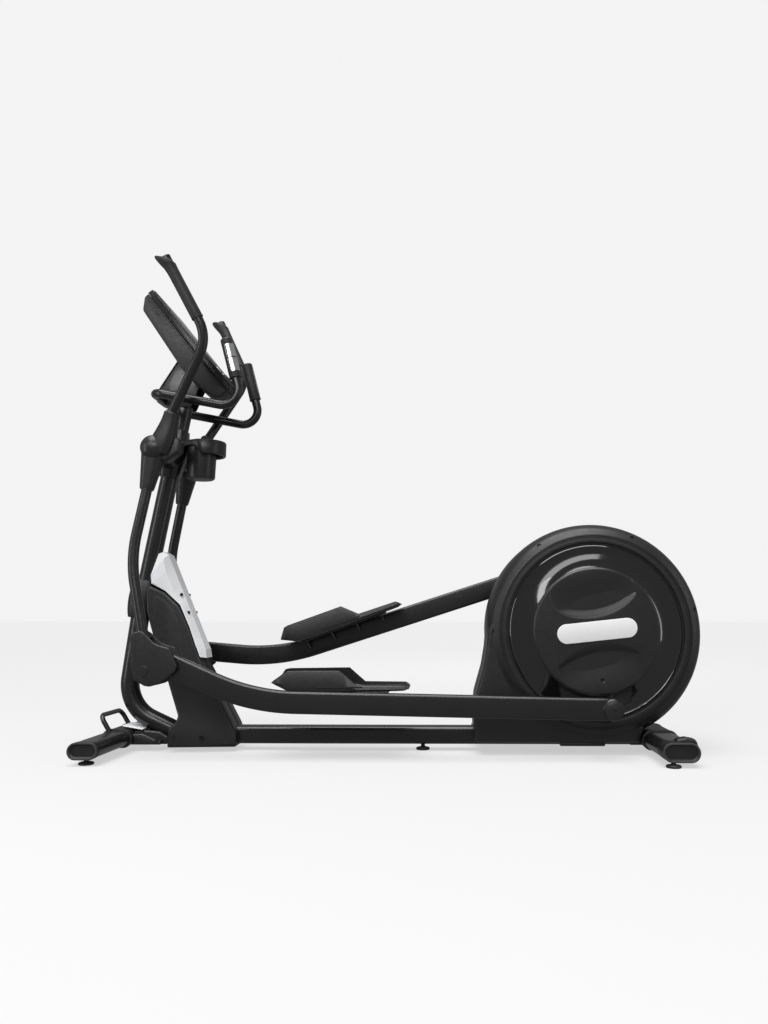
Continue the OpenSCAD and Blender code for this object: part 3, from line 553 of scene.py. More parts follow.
@dataclass(frozen=True)
class Linkage:
    """The crank and arm loop at rest, solved as the CAD does, by two circles that cross."""

    crank: tuple[float, float] = (717.0, 415.0)
    throw: float = 254.0
    rest: float = -83.0
    pivot: tuple[float, float] = (-812.0, 1045.0)
    swing: float = 765.0
    arm: float = 1540.0

    def crank_angle(self, side: int) -> float:
        """Angle of a crank in degrees."""
        return self.rest + (0 if side == LEFT else 180)

    def pin(self, side: int) -> Array:
        """Centre of a crank pin."""
        a = math.radians(self.crank_angle(side))
        return np.array(self.crank) + self.throw * np.array([math.cos(a), math.sin(a)])

    def swing_angle(self, side: int) -> float:
        """Lean of a swing arm in degrees, from the law of cosines."""
        v = self.pin(side) - np.array(self.pivot)
        d = float(np.hypot(*v))
        inner = math.acos((self.swing ** 2 + d ** 2 - self.arm ** 2) / (2 * self.swing * d))
        return math.degrees(math.atan2(v[1], v[0]) - inner) + 90

    def lower(self, side: int) -> Array:
        """Centre of a swing arm's lower joint."""
        a = math.radians(self.swing_angle(side) - 90)
        return np.array(self.pivot) + self.swing * np.array([math.cos(a), math.sin(a)])

    def swing_place(self, side: int) -> Place:
        """The frame of a swing arm."""
        return Place(*self.pivot, self.swing_angle(side), side)

    def arm_place(self, side: int) -> Place:
        """The frame of a pedal arm."""
        low, pin = self.lower(side), self.pin(side)
        return Place(*low, math.degrees(math.atan2(*(pin - low)[::-1])), side)

    def crank_place(self, side: int) -> Place:
        """The frame of a crank."""
        return Place(*self.crank, self.crank_angle(side), side)


LINKAGE = Linkage()


def mast_x(z: float) -> float:
    """X of the leaning mast's centre line at a height."""
    return -809.0 + (z - 1045.0) * math.tan(math.radians(9.3))


# --------------------------------------------------------------------------- base


@dataclass
class FloorFrame:
    """Beam, floor tubes, caps, feet, saddle, lift handle and transport wheels."""

    shop: Workshop
    half: float = 352.0
    tube_x: float = 934.0
    tube_z: float = 46.0
    front: tuple[float, float] = (94.0, 51.0)
    rear: tuple[float, float] = (114.0, 57.0)
    wheel: tuple[float, float] = (962.0, 48.0)

    def build(self) -> None:
        """Builds the whole base."""
        self.beam()
        self.tube("front_stabilizer", -self.tube_x, self.front, self.half - 12)
        self.tube("rear_stabilizer", self.tube_x, self.rear, self.half - 68)
        self.caps()
        self.feet()
        self.saddle()
        self.lift_handle()
        self.rear_collar()

    def beam(self) -> None:
        """Main beam: a round-cornered tube, with a tongue that reaches the front floor tube."""
        path = np.array([[-750.0, 0, 52], [878.0, 0, 52]])
        skin = sweep(path, rounded_box(60, 62, 17))
        tongue = sweep(np.array([[-912.0, 0, 32], [-745.0, 0, 32]]), rounded_box(50, 20, 5))
        self.shop.add("beam_skin", skin + tongue, BASE, POWDER, ["base_beam"])

    def tube(self, node: str, x: float, size: tuple[float, float], reach: float) -> None:
        """One floor tube: an oval section carried across the machine."""
        path = np.array([[x, -reach, self.tube_z], [x, reach, self.tube_z]])
        section = rounded_box(size[1], size[0], size[1] / 2 - 0.01, 12)
        self.shop.add(f"{node}_skin", sweep(path, section, start=np.array([0, 0, 1.0])), BASE,
                      POWDER, [node])

    def cap(self, x: float, size: tuple[float, float], length: float, side: int) -> tuple[Skin, Skin]:
        """One end cap.

        Args:
            x: Centre of the tube.
            size: Section of the tube, front to back and height.
            length: Length of the cap's sleeve.
            side: Left or right.

        Returns:
            The sleeve with its raised rim and sunken face, and the lighter rim band.
        """
        w, h = size

        def oval(grow: float) -> Array:
            """The tube's oval, grown."""
            return rounded_box(w + grow, h + grow, (h + grow) / 2 - 0.01, 12)

        levels = [(self.half - length, 2.4), (self.half - 8, 2.4), (self.half - 5, 1.0),
                  (self.half - 5, -1.5), (self.half - 8, -13), (self.half - 9, -16)]
        rim = [(self.half - 7, -2), (self.half - 7, 2.8), (self.half - 2, 2.8), (self.half, 0.5),
               (self.half, -7), (self.half - 1, -9), (self.half - 6, -11.5), (self.half - 7, -9)]

        def stack(rows: Sequence[tuple[float, float]], closed: bool) -> Skin:
            """Rows of the grown oval, one at each distance from the middle."""
            grid = np.stack([np.insert(oval(g), 1, y, axis=1) for y, g in rows])
            grid = grid + np.array([x, 0, self.tube_z])
            grid[..., 1] *= side
            return Skin.from_grid(grid, wrap_rows=closed)

        return stack(levels, False), stack(rim, True)

    def caps(self) -> None:
        """Four end caps, with a wheel pocket in the outer corner of each rear one."""
        sleeves, rims = [], []
        for side in (LEFT, RIGHT):
            for x, size, length in ((-self.tube_x, self.front, 26.0), (self.tube_x, self.rear, 68.0)):
                sleeve, rim = self.cap(x, size, length, side)
                sleeves.append(sleeve)
                rims.append(rim)
            wx, wz = self.wheel
            guard = fillet([(wx - 44, 66), (wx - 34, 84), (wx - 6, 89), (wx + 22, 84), (wx + 30, 70),
                            (wx + 24, 60), (wx - 40, 60)], 8)
            sleeves.append(plate(guard, side * (self.half - 66), side * (self.half - 24), 7))
            wheel = turned([(0, -11), (24, -11), (26, -13), (33, -13), (36, -9), (36, 9), (33, 13),
                            (26, 13), (24, 11), (0, 11)], (wx, wz), 48)
            name = "left" if side == LEFT else "right"
            wheel.points[:, 1] += side * (self.half - 46)
            self.shop.add(f"wheel_{name}_skin", wheel, BASE, RUBBER, [f"transport_wheel_{name}"])
        self.shop.add("cap_sleeves", joined(sleeves), BASE, SHELL, ["end_caps"])
        self.shop.add("cap_rims", joined(rims), BASE, RIM, ["+end_caps"])

    def feet(self) -> None:
        """Round rubber feet on threaded stems."""
        spots = [(-self.tube_x, 312, 22), (self.tube_x - 24, 335, 19)]
        skins = []
        for x, y, top in [(x, s * y, t) for x, y, t in spots for s in (LEFT, RIGHT)] + [(123, 0, 22)]:
            rows = [(0, 0), (22, 0), (24, 1.5), (24, 5.5), (22, 8), (12, 10.5), (7, 11), (7, top), (0, top)]
            foot = turned(rows, (0, 0), 40)
            foot.points = foot.points[:, [0, 2, 1]] + np.array([x, y, 0])
            skins.append(foot.outwards())
        self.shop.add("feet_skin", joined(skins), BASE, RUBBER, ["levelling_feet"])

    def saddle(self) -> None:
        """Collar over the front tube: a flanged band with a sloping pale plate and two screws."""
        w, h = self.front
        rows = [(-82, 6), (-81, 12), (-74, 14), (-70, 9), (-66, 8), (66, 8), (70, 9), (74, 14),
                (81, 12), (82, 6)]
        oval = [np.insert(rounded_box(w + g, h + g, (h + g) / 2 - 0.01, 12), 1, y, axis=1)
                for y, g in rows]
        band = Skin.from_grid(np.stack(oval) + np.array([-self.tube_x, 0, self.tube_z]))
        horn = fillet([(-900, 20), (-900, 66), (-868, 70), (-800, 64), (-768, 46), (-768, 20)], 10)
        body = plate(horn, -36, 36, 7)
        web = fillet([(-905, 22), (-905, 58), (-850, 60), (-806, 40), (-786, 34), (-786, 22)], 6)
        self.shop.add("saddle_skin", band + body + plate(web, -60, 60, 6), BASE, SHELL, ["front_saddle"])
        label = np.array([[-929.0, 0, 84.5], [-857.0, 0, 72.5]])
        tag = sweep(label, rounded_box(96, 3.2, 1.5), crown=1.4)
        self.shop.add("saddle_plate", tag, BASE, PALE, ["+front_saddle"])
        pins = joined([screw((-800, 40), s * 60, 5) for s in (LEFT, RIGHT)])
        self.shop.add("saddle_screws", pins, BASE, BLACK_AND_SHADE, ["+front_saddle"])

    def lift_handle(self) -> None:
        """Loop of round bar that lifts the front."""
        corners = [(-948, -89, 58), (-990, -89, 124), (-990, 89, 124), (-948, 89, 58)]
        path = spread(fillet(corners, [0, 26, 26, 0], 12, closed=False), 20)
        self.shop.add("lift_handle_skin", sweep(path, ring(8, 24), start=np.array([1.0, 0, 0])),
                      BASE, POWDER, ["lift_handle"])

    def rear_collar(self) -> None:
        """Collar where the rear tube meets the beam, with two rolled lips."""
        w, h = self.rear
        rows = [(-96, 4), (-95, 10), (-89, 11), (-86, 7), (86, 7), (89, 11), (95, 10), (96, 4)]
        oval = [np.insert(rounded_box(w + g, h + g, (h + g) / 2 - 0.01, 12), 1, y, axis=1)
                for y, g in rows]
        band = Skin.from_grid(np.stack(oval) + np.array([self.tube_x, 0, self.tube_z]))
        foot = plate(fillet([(838, 24), (838, 92), (862, 98), (900, 76), (900, 24)], 6), -52, 52, 6)
        self.shop.add("rear_collar", band + foot, BASE, SHELL, ["+rear_stabilizer"])


def joined(skins: Sequence[Skin]) -> Skin:
    """Several surfaces as one mesh."""
    total = skins[0]
    for skin in skins[1:]:
        total = total + skin
    return total


# --------------------------------------------------------------------------- mast


@dataclass
class MastGroup:
    """Neck, mast, brace, collar, cross head, console bracket and cup holder."""

    shop: Workshop
    radius: float = 32.0
    foot_z: float = 480.0
    top_z: float = 1245.0
    cup_z: float = 1107.0
    cup_radius: float = 56.0

    def build(self) -> None:
        """Builds the mast and what it carries."""
        self.tubes()
        self.collar()
        self.head()
        self.bracket()
        self.cup_holder()
        self.shop.dress(STEEL, "pivot_axle")

    def tubes(self) -> None:
        """Swan neck, straight mast and hidden brace."""
        x = mast_x(self.foot_z)
        corners = [(x + 3, 0, 500), (x, 0, self.foot_z), (x - 36, 0, 145), (-748, 0, 60)]
        neck = spread(fillet(corners, [0, 60, 230, 0], 28, closed=False), 25)
        self.shop.add("neck_skin", sweep(neck, ring(self.radius, 48)), BASE, POWDER, ["neck_tube"])
        mast = spread(np.array([[x, 0, self.foot_z], [mast_x(self.top_z), 0, self.top_z]]), 60)
        self.shop.add("mast_skin", sweep(mast, ring(self.radius, 48), crown=4), BASE, POWDER, ["mast"])
        brace = np.array([[-640.0, 0, 84], [-872.0, 0, 620]])
        self.shop.add("brace_skin", sweep(brace, ring(20, 32)), BASE, POWDER, ["mast_brace"])

    def collar(self) -> None:
        """Barrel-shaped cover over the joint of neck and mast."""
        along = np.linspace(0, 1, 22)
        z = self.foot_z - 22 + 136 * along
        path = np.stack([mast_x(self.foot_z) + (z - self.foot_z) * 0.13, 0 * z, z], 1)
        swell = 35.5 + 10 * np.sin(math.pi * np.clip(along * 0.95 + 0.02, 0, 1)) ** 0.7
        skin = sweep(path, rounded_box(2, 2.1, 0.72, 8), scale=swell)
        self.shop.add("collar_skin", skin, BASE, SHELL, ["mast_collar"])

    def head(self) -> None:
        """Cross head: a tube across the mast that swells into a fairing where they meet."""
        y = np.linspace(-138, 138, 41)
        swell = 36 + 12 * np.exp(-(y / 52) ** 4)
        path = np.stack([0 * y - 812, y, 0 * y + 1045], 1)
        cross = sweep(path, ring(1, 48), scale=swell, start=np.array([0, 0, 1.0]))
        z = np.linspace(972, 1150, 19)
        waist = 34 + 10 * np.sin(math.pi * (z - 972) / 178)
        spine = np.stack([np.array([mast_x(k) for k in z]), 0 * z, z], 1)
        fairing = sweep(spine, rounded_box(2, 2.05, 0.7, 8), scale=waist)
        self.shop.add("cross_head", cross + fairing, BASE, POWDER, ["+mast"])

    def bracket(self) -> None:
        """Folded bracket from the mast to the console, with a front rib."""
        x = mast_x(self.top_z)
        front = x - 92
        side = fillet([(x + 34, 1234), (x + 72, 1330), (x + 36, 1392), (x - 10, 1432),
                       (front, 1294), (front, 1250), (x - 36, 1236)], [6, 14, 14, 10, 16, 12, 8])
        cheeks = plate(side, -37, -33, 1.5) + plate(side, 33, 37, 1.5)
        web = fillet([(front - 1, 1252), (front + 6, 1250), (front + 7, 1292), (x - 3, 1428),
                      (x - 11, 1434), (front - 1, 1296)], 3)
        self.shop.add("bracket_skin", cheeks + plate(web, -37, 37, 2), BASE, POWDER,
                      ["console_bracket"])

    def cup_holder(self) -> None:
        """Tray ring with a deep band at its rear, and a tapered cup with a pale underside."""
        ring_x, cx = mast_x(self.cup_z) + 109, mast_x(self.cup_z) + 95
        n = 96
        t = np.arange(n) * (2 * math.pi / n)
        reach = smooth((-np.cos(t) - 0.1) / 0.9)
        r = self.cup_radius + 18
        x = ring_x + r * np.cos(t) - reach * 38
        y = r * np.sin(t) * (1 - 0.42 * reach)
        drop = 22 + 32 * smooth((np.cos(t) + 0.35) / 0.5)

        def row(shrink: float, z: Array | float) -> Array:
            """One row of the band, shrunk towards the cup's axis."""
            return np.stack([cx + (x - cx) * shrink, y * shrink, np.broadcast_to(z, (n,))], 1)

        top = self.cup_z
        rows = [row(0.86, top - 6), row(0.88, top - 1), row(0.92, top), row(0.97, top - 1),
                row(1.0, top - 5), row(1.0, top - drop + 4), row(0.98, top - drop),
                row(0.90, top - drop), row(0.86, top - drop + 3)]
        band = Skin.from_grid(np.stack(rows), wrap_rows=True)
        arm = plate(fillet([(mast_x(top) - 10, top - 26), (mast_x(top) + 6, top - 4),
                            (cx - 58, top - 4), (cx - 58, top - 24)], 5), -30, 30, 6)
        self.shop.add("cup_ring", band + arm, BASE, SHELL_SOFT, ["cup_holder"])
        bottom = top - 140
        wall = [(46, bottom), (50, bottom + 2), (51, bottom + 6), (54.5, top - 3), (53.5, top - 1.5),
                (52, top - 3), (48.5, bottom + 10), (44, bottom + 6), (0, bottom + 6)]
        cup = turned([(0, bottom), *wall], (0, 0), 64)
        cup.points = cup.points[:, [0, 2, 1]] + np.array([cx, 0, 0])
        self.shop.add("cup_skin", cup.outwards(), BASE, SHELL_SOFT, ["+cup_holder"])
        pad = turned([(0, bottom - 2), (44, bottom - 2), (47, bottom - 0.5), (47.5, bottom + 1),
                      (0, bottom + 1)], (0, 0), 64)
        pad.points = pad.points[:, [0, 2, 1]] + np.array([cx, 0, 0])
        self.shop.add("cup_base", pad.outwards(), BASE, RIM, ["+cup_holder"])


# --------------------------------------------------------------------------- shroud


@dataclass
class Shroud:
    """Two dark halves around the foot of the mast, and a pale faceted panel behind it."""

    shop: Workshop
    wide: float = 85.0
    narrow: float = 56.0

    outline: tuple[tuple[float, float], ...] = (
        (-757, 16), (-757, 78), (-730, 104), (-726, 122), (-775, 238), (-836, 400), (-862, 480),
        (-868, 578), (-800, 548), (-745, 500), (-705, 420), (-668, 325), (-537, 90), (-524, 60),
        (-524, 16))

    def width(self, z: Array) -> Array:
        """Half width at a height: wide at the base, then narrowing to the top of the flare."""
        return self.wide + (self.narrow - self.wide) * smooth((z - 88) / 130)

    def half(self, name: str, side: int) -> None:
        """One dark half: the outline drawn out to the half width, with a broad rounded rim."""
        shape = fillet(self.outline, [6, 14, 10, 10, 60, 60, 40, 14, 30, 40, 60, 60, 24, 10, 6], 6)
        skin = plate(shape, 0.4, 1.0 + self.wide, 9, 5)
        share = skin.points[:, 1] / (1.0 + self.wide)
        rear = smooth((skin.points[:, 0] + 650) / 120) * smooth((340 - skin.points[:, 2]) / 160)
        skin.points[:, 1] = 0.4 + share * (self.width(skin.points[:, 2]) * (1 - 0.24 * rear) - 0.4)
        place = Place(side=side)
        self.shop.add(f"shroud_{name}_skin", skin, place, SHELL, [f"shroud_{name}"])
        panel = fillet([(-832, 440), (-845, 545), (-800, 522), (-756, 482), (-728, 410), (-700, 330),
                        (-716, 205), (-748, 214), (-790, 300)], [14, 16, 20, 20, 30, 24, 14, 14, 40])
        raised = plate(panel, self.narrow - 2, self.narrow + 1.6, 2.4)
        window = fillet([(-722, 196), (-700, 262), (-668, 250), (-682, 208)], 7)
        raised = raised + plate(window, self.narrow - 2, self.narrow + 3.2, 2.0)
        self.shop.add(f"shroud_{name}_panel", raised, place, SHELL, [f"+shroud_{name}"])
        pins = [screw(p, self.wide + 0.4, 6) for p in ((-738, 52), (-640, 50))]
        self.shop.add(f"shroud_{name}_screws", joined(pins), place, BLACK_AND_SHADE, [f"+shroud_{name}"])

    def pale_panel(self) -> None:
        """Pale panel: side faces and a rear face with a wide bevel between, drawn down its length."""
        front = np.array([(-838, 688), (-856, 610), (-850, 580), (-798, 553), (-742, 504), (-704, 424),
                          (-680, 360), (-664, 322)], float)
        rear = np.array([(-818, 696), (-800, 684), (-780, 640), (-764, 604), (-722, 510), (-684, 424),
                         (-650, 348), (-645, 318)], float)
        wall = np.array([30, 50, 55, 56, 56, 56, 56, 54], float)
        bevel = np.array([8, 18, 26, 28, 28, 28, 26, 18], float)
        pick = np.linspace(0, 7, 43)

        def run(values: Array) -> Array:
            """The values at 43 even steps down the panel."""
            low = np.floor(pick).astype(int).clip(0, 6)
            part = (pick - low)[:, None]
            grid = values.reshape(len(values), -1)
            return grid[low] * (1 - part) + grid[low + 1] * part

        f, r, w, b = run(front), run(rear), run(wall), run(bevel)
        ridge = r + (f - r) * np.minimum(0.75, b / np.linalg.norm(f - r, axis=1, keepdims=True))
        columns = [(f, w - 3), (f * 0.94 + ridge * 0.06, w), (ridge, w), (r * 0.96 + ridge * 0.04,
                   w - b * 0.92), (r, w - b)]
        right = [np.concatenate([p[:, :1], y, p[:, 1:]], 1) for p, y in columns]
        left = [np.concatenate([p[:, :1], -y, p[:, 1:]], 1) for p, y in columns[::-1]]
        grid = np.stack([*right, *left], 1)
        self.shop.add("pale_panel_skin", Skin.from_grid(grid), BASE, PALE, ["shroud_panel"], 12)
        for name, side in SIDES.items():
            pins = [screw(p, 46.0, 4.2) for p in ((-742, 541), (-714, 478))]
            self.shop.add(f"pale_panel_screws_{name}", joined(pins), Place(side=side), BLACK_AND_SHADE,
                          ["+shroud_panel"])

    def build(self) -> None:
        """Builds both halves and the pale panel."""
        for name, side in SIDES.items():
            self.half(name, side)
        self.pale_panel()


# --------------------------------------------------------------------------- drive housing


@dataclass
class DriveHousing:
    """Round housing halves with a stepped ring, a base skirt and recessed screws."""

    shop: Workshop
    centre: tuple[float, float] = (717.0, 415.0)
    radius: float = 372.0
    face: float = 142.0
    opening: float = 302.0

    def profile(self) -> list[tuple[float, float]]:
        """(radius, y) from the parting line over the rounded rim and grooved ring to the recess."""
        r, f, o = self.radius, self.face, self.opening
        t = np.linspace(0, 1, 14)
        crown = [(r - 33 * k ** 2.6, 46 + (f - 54) * (1 - (1 - k) ** 1.35)) for k in t]
        ring_face = [(r - 38, f - 4.5), (r - 42, f - 2.2), (r - 44.5, f - 2.0), (r - 45.3, f - 4.2),
                     (r - 47.6, f - 4.2), (r - 48.4, f - 1.2), (320.9, f - 1.0), (320.3, f - 2.8),
                     (319.2, f - 2.8), (318.6, f - 0.9), (o + 10, f - 0.2), (o + 4, f),
                     (o + 1.4, f - 0.8), (o, f - 3)]
        return [(o, 0.4), (r - 2, 0.4), (r - 0.4, 1.2), (r, 3), *crown, *ring_face,
                (o, f - 9), (o - 14, f - 9.5), (60, f - 9.5), (60, 0.4)]

    def half(self, name: str, side: int) -> None:
        """One half: the turned drum, the skirt below it and its screws."""
        place = Place(side=side)
        rows = self.profile()
        drum = turned(rows[1:-1] + [(58, self.face - 14)], self.centre, 192)
        skirt_outline = fillet([(372, 470), (350, 413), (345, 356), (333, 289), (306, 197), (299, 126),
                                (302, 42), (855, 42), (872, 92), (800, 200), (717, 300),
                                (500, 470)], [10, 60, 120, 120, 80, 60, 18, 8, 10, 10, 10, 10], 6)
        skirt = plate(skirt_outline, 0.4, 128, 12, 5)
        self.shop.add(f"housing_{name}_skin", drum, place, SHELL, [f"housing_{name}"])
        self.shop.add(f"housing_{name}_skirt", skirt, place, SHELL, [f"+housing_{name}"])
        foot = plate(fillet([(590, 30), (590, 46), (742, 46), (742, 30)], 4), 60, 118, 4)
        self.shop.add(f"housing_{name}_foot", foot, place, SHELL, [f"+housing_{name}"])
        angles = np.radians([67, 122.5, 180, 232, 300, 12])
        spots = [(self.centre[0] + 346 * math.cos(a), self.centre[1] + 346 * math.sin(a))
                 for a in angles]
        pins = [screw(p, self.face - 10.4, 6.5) for p in spots]
        pins += [screw(p, 128.2, 6) for p in ((362, 58), (566, 63), (770, 70))]
        nodes = ["housing_screws"] if side == LEFT else ["+housing_screws"]
        self.shop.add(f"housing_{name}_screws", joined(pins), place, BLACK_AND_SHADE, nodes)

    def build(self) -> None:
        """Builds both halves and dresses what they hide."""
        for name, side in SIDES.items():
            self.half(name, side)
        self.shop.dress(POWDER, "drive_frame")
        self.shop.dress(STEEL, "drive_bearings", "brake_caliper", "crank_axle")
        self.shop.dress(CAST, "flywheel", "drive_pulley")
        self.shop.dress(RUBBER, "drive_belt")
        self.shop.dress(SHELL, "resistance_motor", "power_inlet")


# --------------------------------------------------------------------------- crankset


@dataclass
class Crankset:
    """Turning side dishes, inner caps with their badges, and the crank arms."""

    shop: Workshop
    outer: float = 295.5
    cap: float = 216.0
    level: float = 157.0
    throw: float = 254.0
    recess_half: float = 141.0
    recess_depth: float = 13.0
    recess_tilt: float = 11.7
    recess_shift: float = 18.7

    def dish_height(self, r: Array) -> Array:
        """Y of the dish's face at a radius: a bead at the rim, a valley, then a full round crown."""
        t = np.clip((r - self.cap + 4) / (self.outer - 8 - self.cap), 0, 1)
        crown = self.level - 18 + 18 * (1 - t) ** 2.2
        bead = 4.2 * np.exp(-((r - self.outer + 4.5) / 3.2) ** 2)
        return crown + bead - 3.0 * smooth((r - self.outer + 12) / 12)

    def dish(self, name: str, side: int) -> None:
        """One dish: columns run from the slot's edge to the rim, and back 3 mm behind."""
        degrees = np.linspace(-180, 180, 721)[:-1]
        about = np.abs(degrees + (8.3 if side == LEFT else -8.3))
        inner = np.interp(about, [0, 26.4, 27.2, 35, 35.8, 180], [262, 262, 256, 222, 205, 205])
        t = np.radians(degrees)
        room = 28.0 ** 2 - (self.throw * np.sin(t)) ** 2
        boss = self.throw * np.cos(t) + np.sqrt(np.maximum(room, 0))
        inner = np.where((room > 0) & (np.cos(t) > 0), np.maximum(inner, boss), inner)
        s = np.linspace(0, 1, 34)[:, None]
        r = inner + (self.outer - inner) * s
        front, back = self.dish_height(r), self.dish_height(r) - 3.2
        r2, y2 = np.concatenate([r, r[::-1] * 0.9985]), np.concatenate([front, back[::-1]])
        grid = np.stack([r2 * np.cos(t), y2, r2 * np.sin(t)], -1)
        self.shop.add(f"dish_{name}", Skin.from_grid(grid, wrap_rows=True),
                      LINKAGE.crank_place(side), GLOSS, ["side_dishes" if side == LEFT else
                                                         "+side_dishes"], 40)

    def cap_height(self, x: Array, z: Array, side: int) -> Array:
        """Y of the cap's face.

        It is a low crown with two recesses that mirror through the centre. Each recess has a
        sloping wall between two arcs v = 102.8 - k (1 - t t)^p, with t across the recess, and a
        floor that runs back to the rim.

        Args:
            x: Distance to the rear.
            z: Height from the centre.
            side: Left or right.

        Returns:
            Distance outwards from the centre plane.
        """
        a = math.radians(self.recess_tilt) * -side
        shift = self.recess_shift * -side
        r2 = (x ** 2 + z ** 2) / self.cap ** 2
        total = self.level + 5.5 + 5.0 * (1 - r2) - 4.5 * smooth((np.sqrt(r2) - 0.965) / 0.035)
        for k in (1, -1):
            u, v = k * (x * math.cos(a) + z * math.sin(a)), k * (z * math.cos(a) - x * math.sin(a))
            t = np.clip((u - shift) / self.recess_half, -0.9999, 0.9999)
            full = 1 - t ** 2
            low, up = 102.8 - 64 * full ** 0.7, 102.8 - 20 * full ** 0.8
            wall = smooth((v - low) / np.maximum(up - low, 1.0))
            fade = 1 - smooth((v - up) / np.maximum(205 - up, 1))
            inside = (np.abs(u - shift) < self.recess_half) & (v > low)
            total = total - np.where(inside, self.recess_depth * full ** 0.5 * wall * fade, 0)
        return total

    def inner_cap(self, name: str, side: int) -> None:
        """One cap: a polar grid over the relief, closed by a short wall and a flat back."""
        n = 288
        t = np.arange(n) * (2 * math.pi / n)
        r = np.concatenate([np.linspace(0.4, 200, 92), np.linspace(201, self.cap, 14)])[:, None]
        x, z = r * np.cos(t), r * np.sin(t)
        turn = math.radians(LINKAGE.crank_angle(side))
        world_x, world_z = x * math.cos(turn) - z * math.sin(turn), x * math.sin(turn) + z * math.cos(turn)
        y = self.cap_height(world_x, world_z, side)
        hole = np.hypot(world_x - 14, world_z + 164)
        y = y - 7 * (1 - smooth((hole - 4.5) / 1.6))
        face = np.stack([x, y, z], -1)
        back = np.stack([x[-1:], np.full((1, n), self.level - 1.0), z[-1:]], -1)
        nodes = ["inner_caps"] if side == LEFT else ["+inner_caps"]
        self.shop.add(f"inner_cap_{name}", Skin.from_grid(np.concatenate([face, back])),
                      LINKAGE.crank_place(side), SHELL_SOFT, nodes, 50)
        badge = plate(rounded_box(272, 66, 32.9, 16), self.level + 6, self.level + 13.4, 1.6)
        tilt = 6.0 if side == LEFT else -6.0
        self.shop.add(f"badge_{name}", badge, Place(717, 415, tilt, side), BADGE, ["+inner_caps"])

    def crank_arm(self, name: str, side: int) -> None:
        """One crank: a flat bar that tapers to the boss, with a stepped hub."""
        bar = fillet([(-30, -28), (30, -28), (self.throw, -22), (self.throw + 24, -10),
                      (self.throw + 24, 10), (self.throw, 22), (30, 28), (-30, 28)],
                     [26, 10, 14, 12, 12, 14, 10, 26])
        boss = turned([(0, 140), (24, 140), (24, 152), (20, 154), (20, 204), (18.5, 205.6), (0, 205.6)],
                      (self.throw, 0), 48)
        hub = turned([(0, 139), (26, 139), (26, 150), (20, 153.6), (0, 153.6)], (0, 0), 48)
        nodes = ["crank_arms"] if side == LEFT else ["+crank_arms"]
        self.shop.add(f"crank_arm_{name}", plate(bar, 139.4, 150.6, 2) + boss + hub,
                      LINKAGE.crank_place(side), POWDER, nodes)

    def build(self) -> None:
        """Builds both sides."""
        for name, side in SIDES.items():
            self.dish(name, side)
            self.inner_cap(name, side)
            self.crank_arm(name, side)


# --------------------------------------------------------------------------- pedal arm


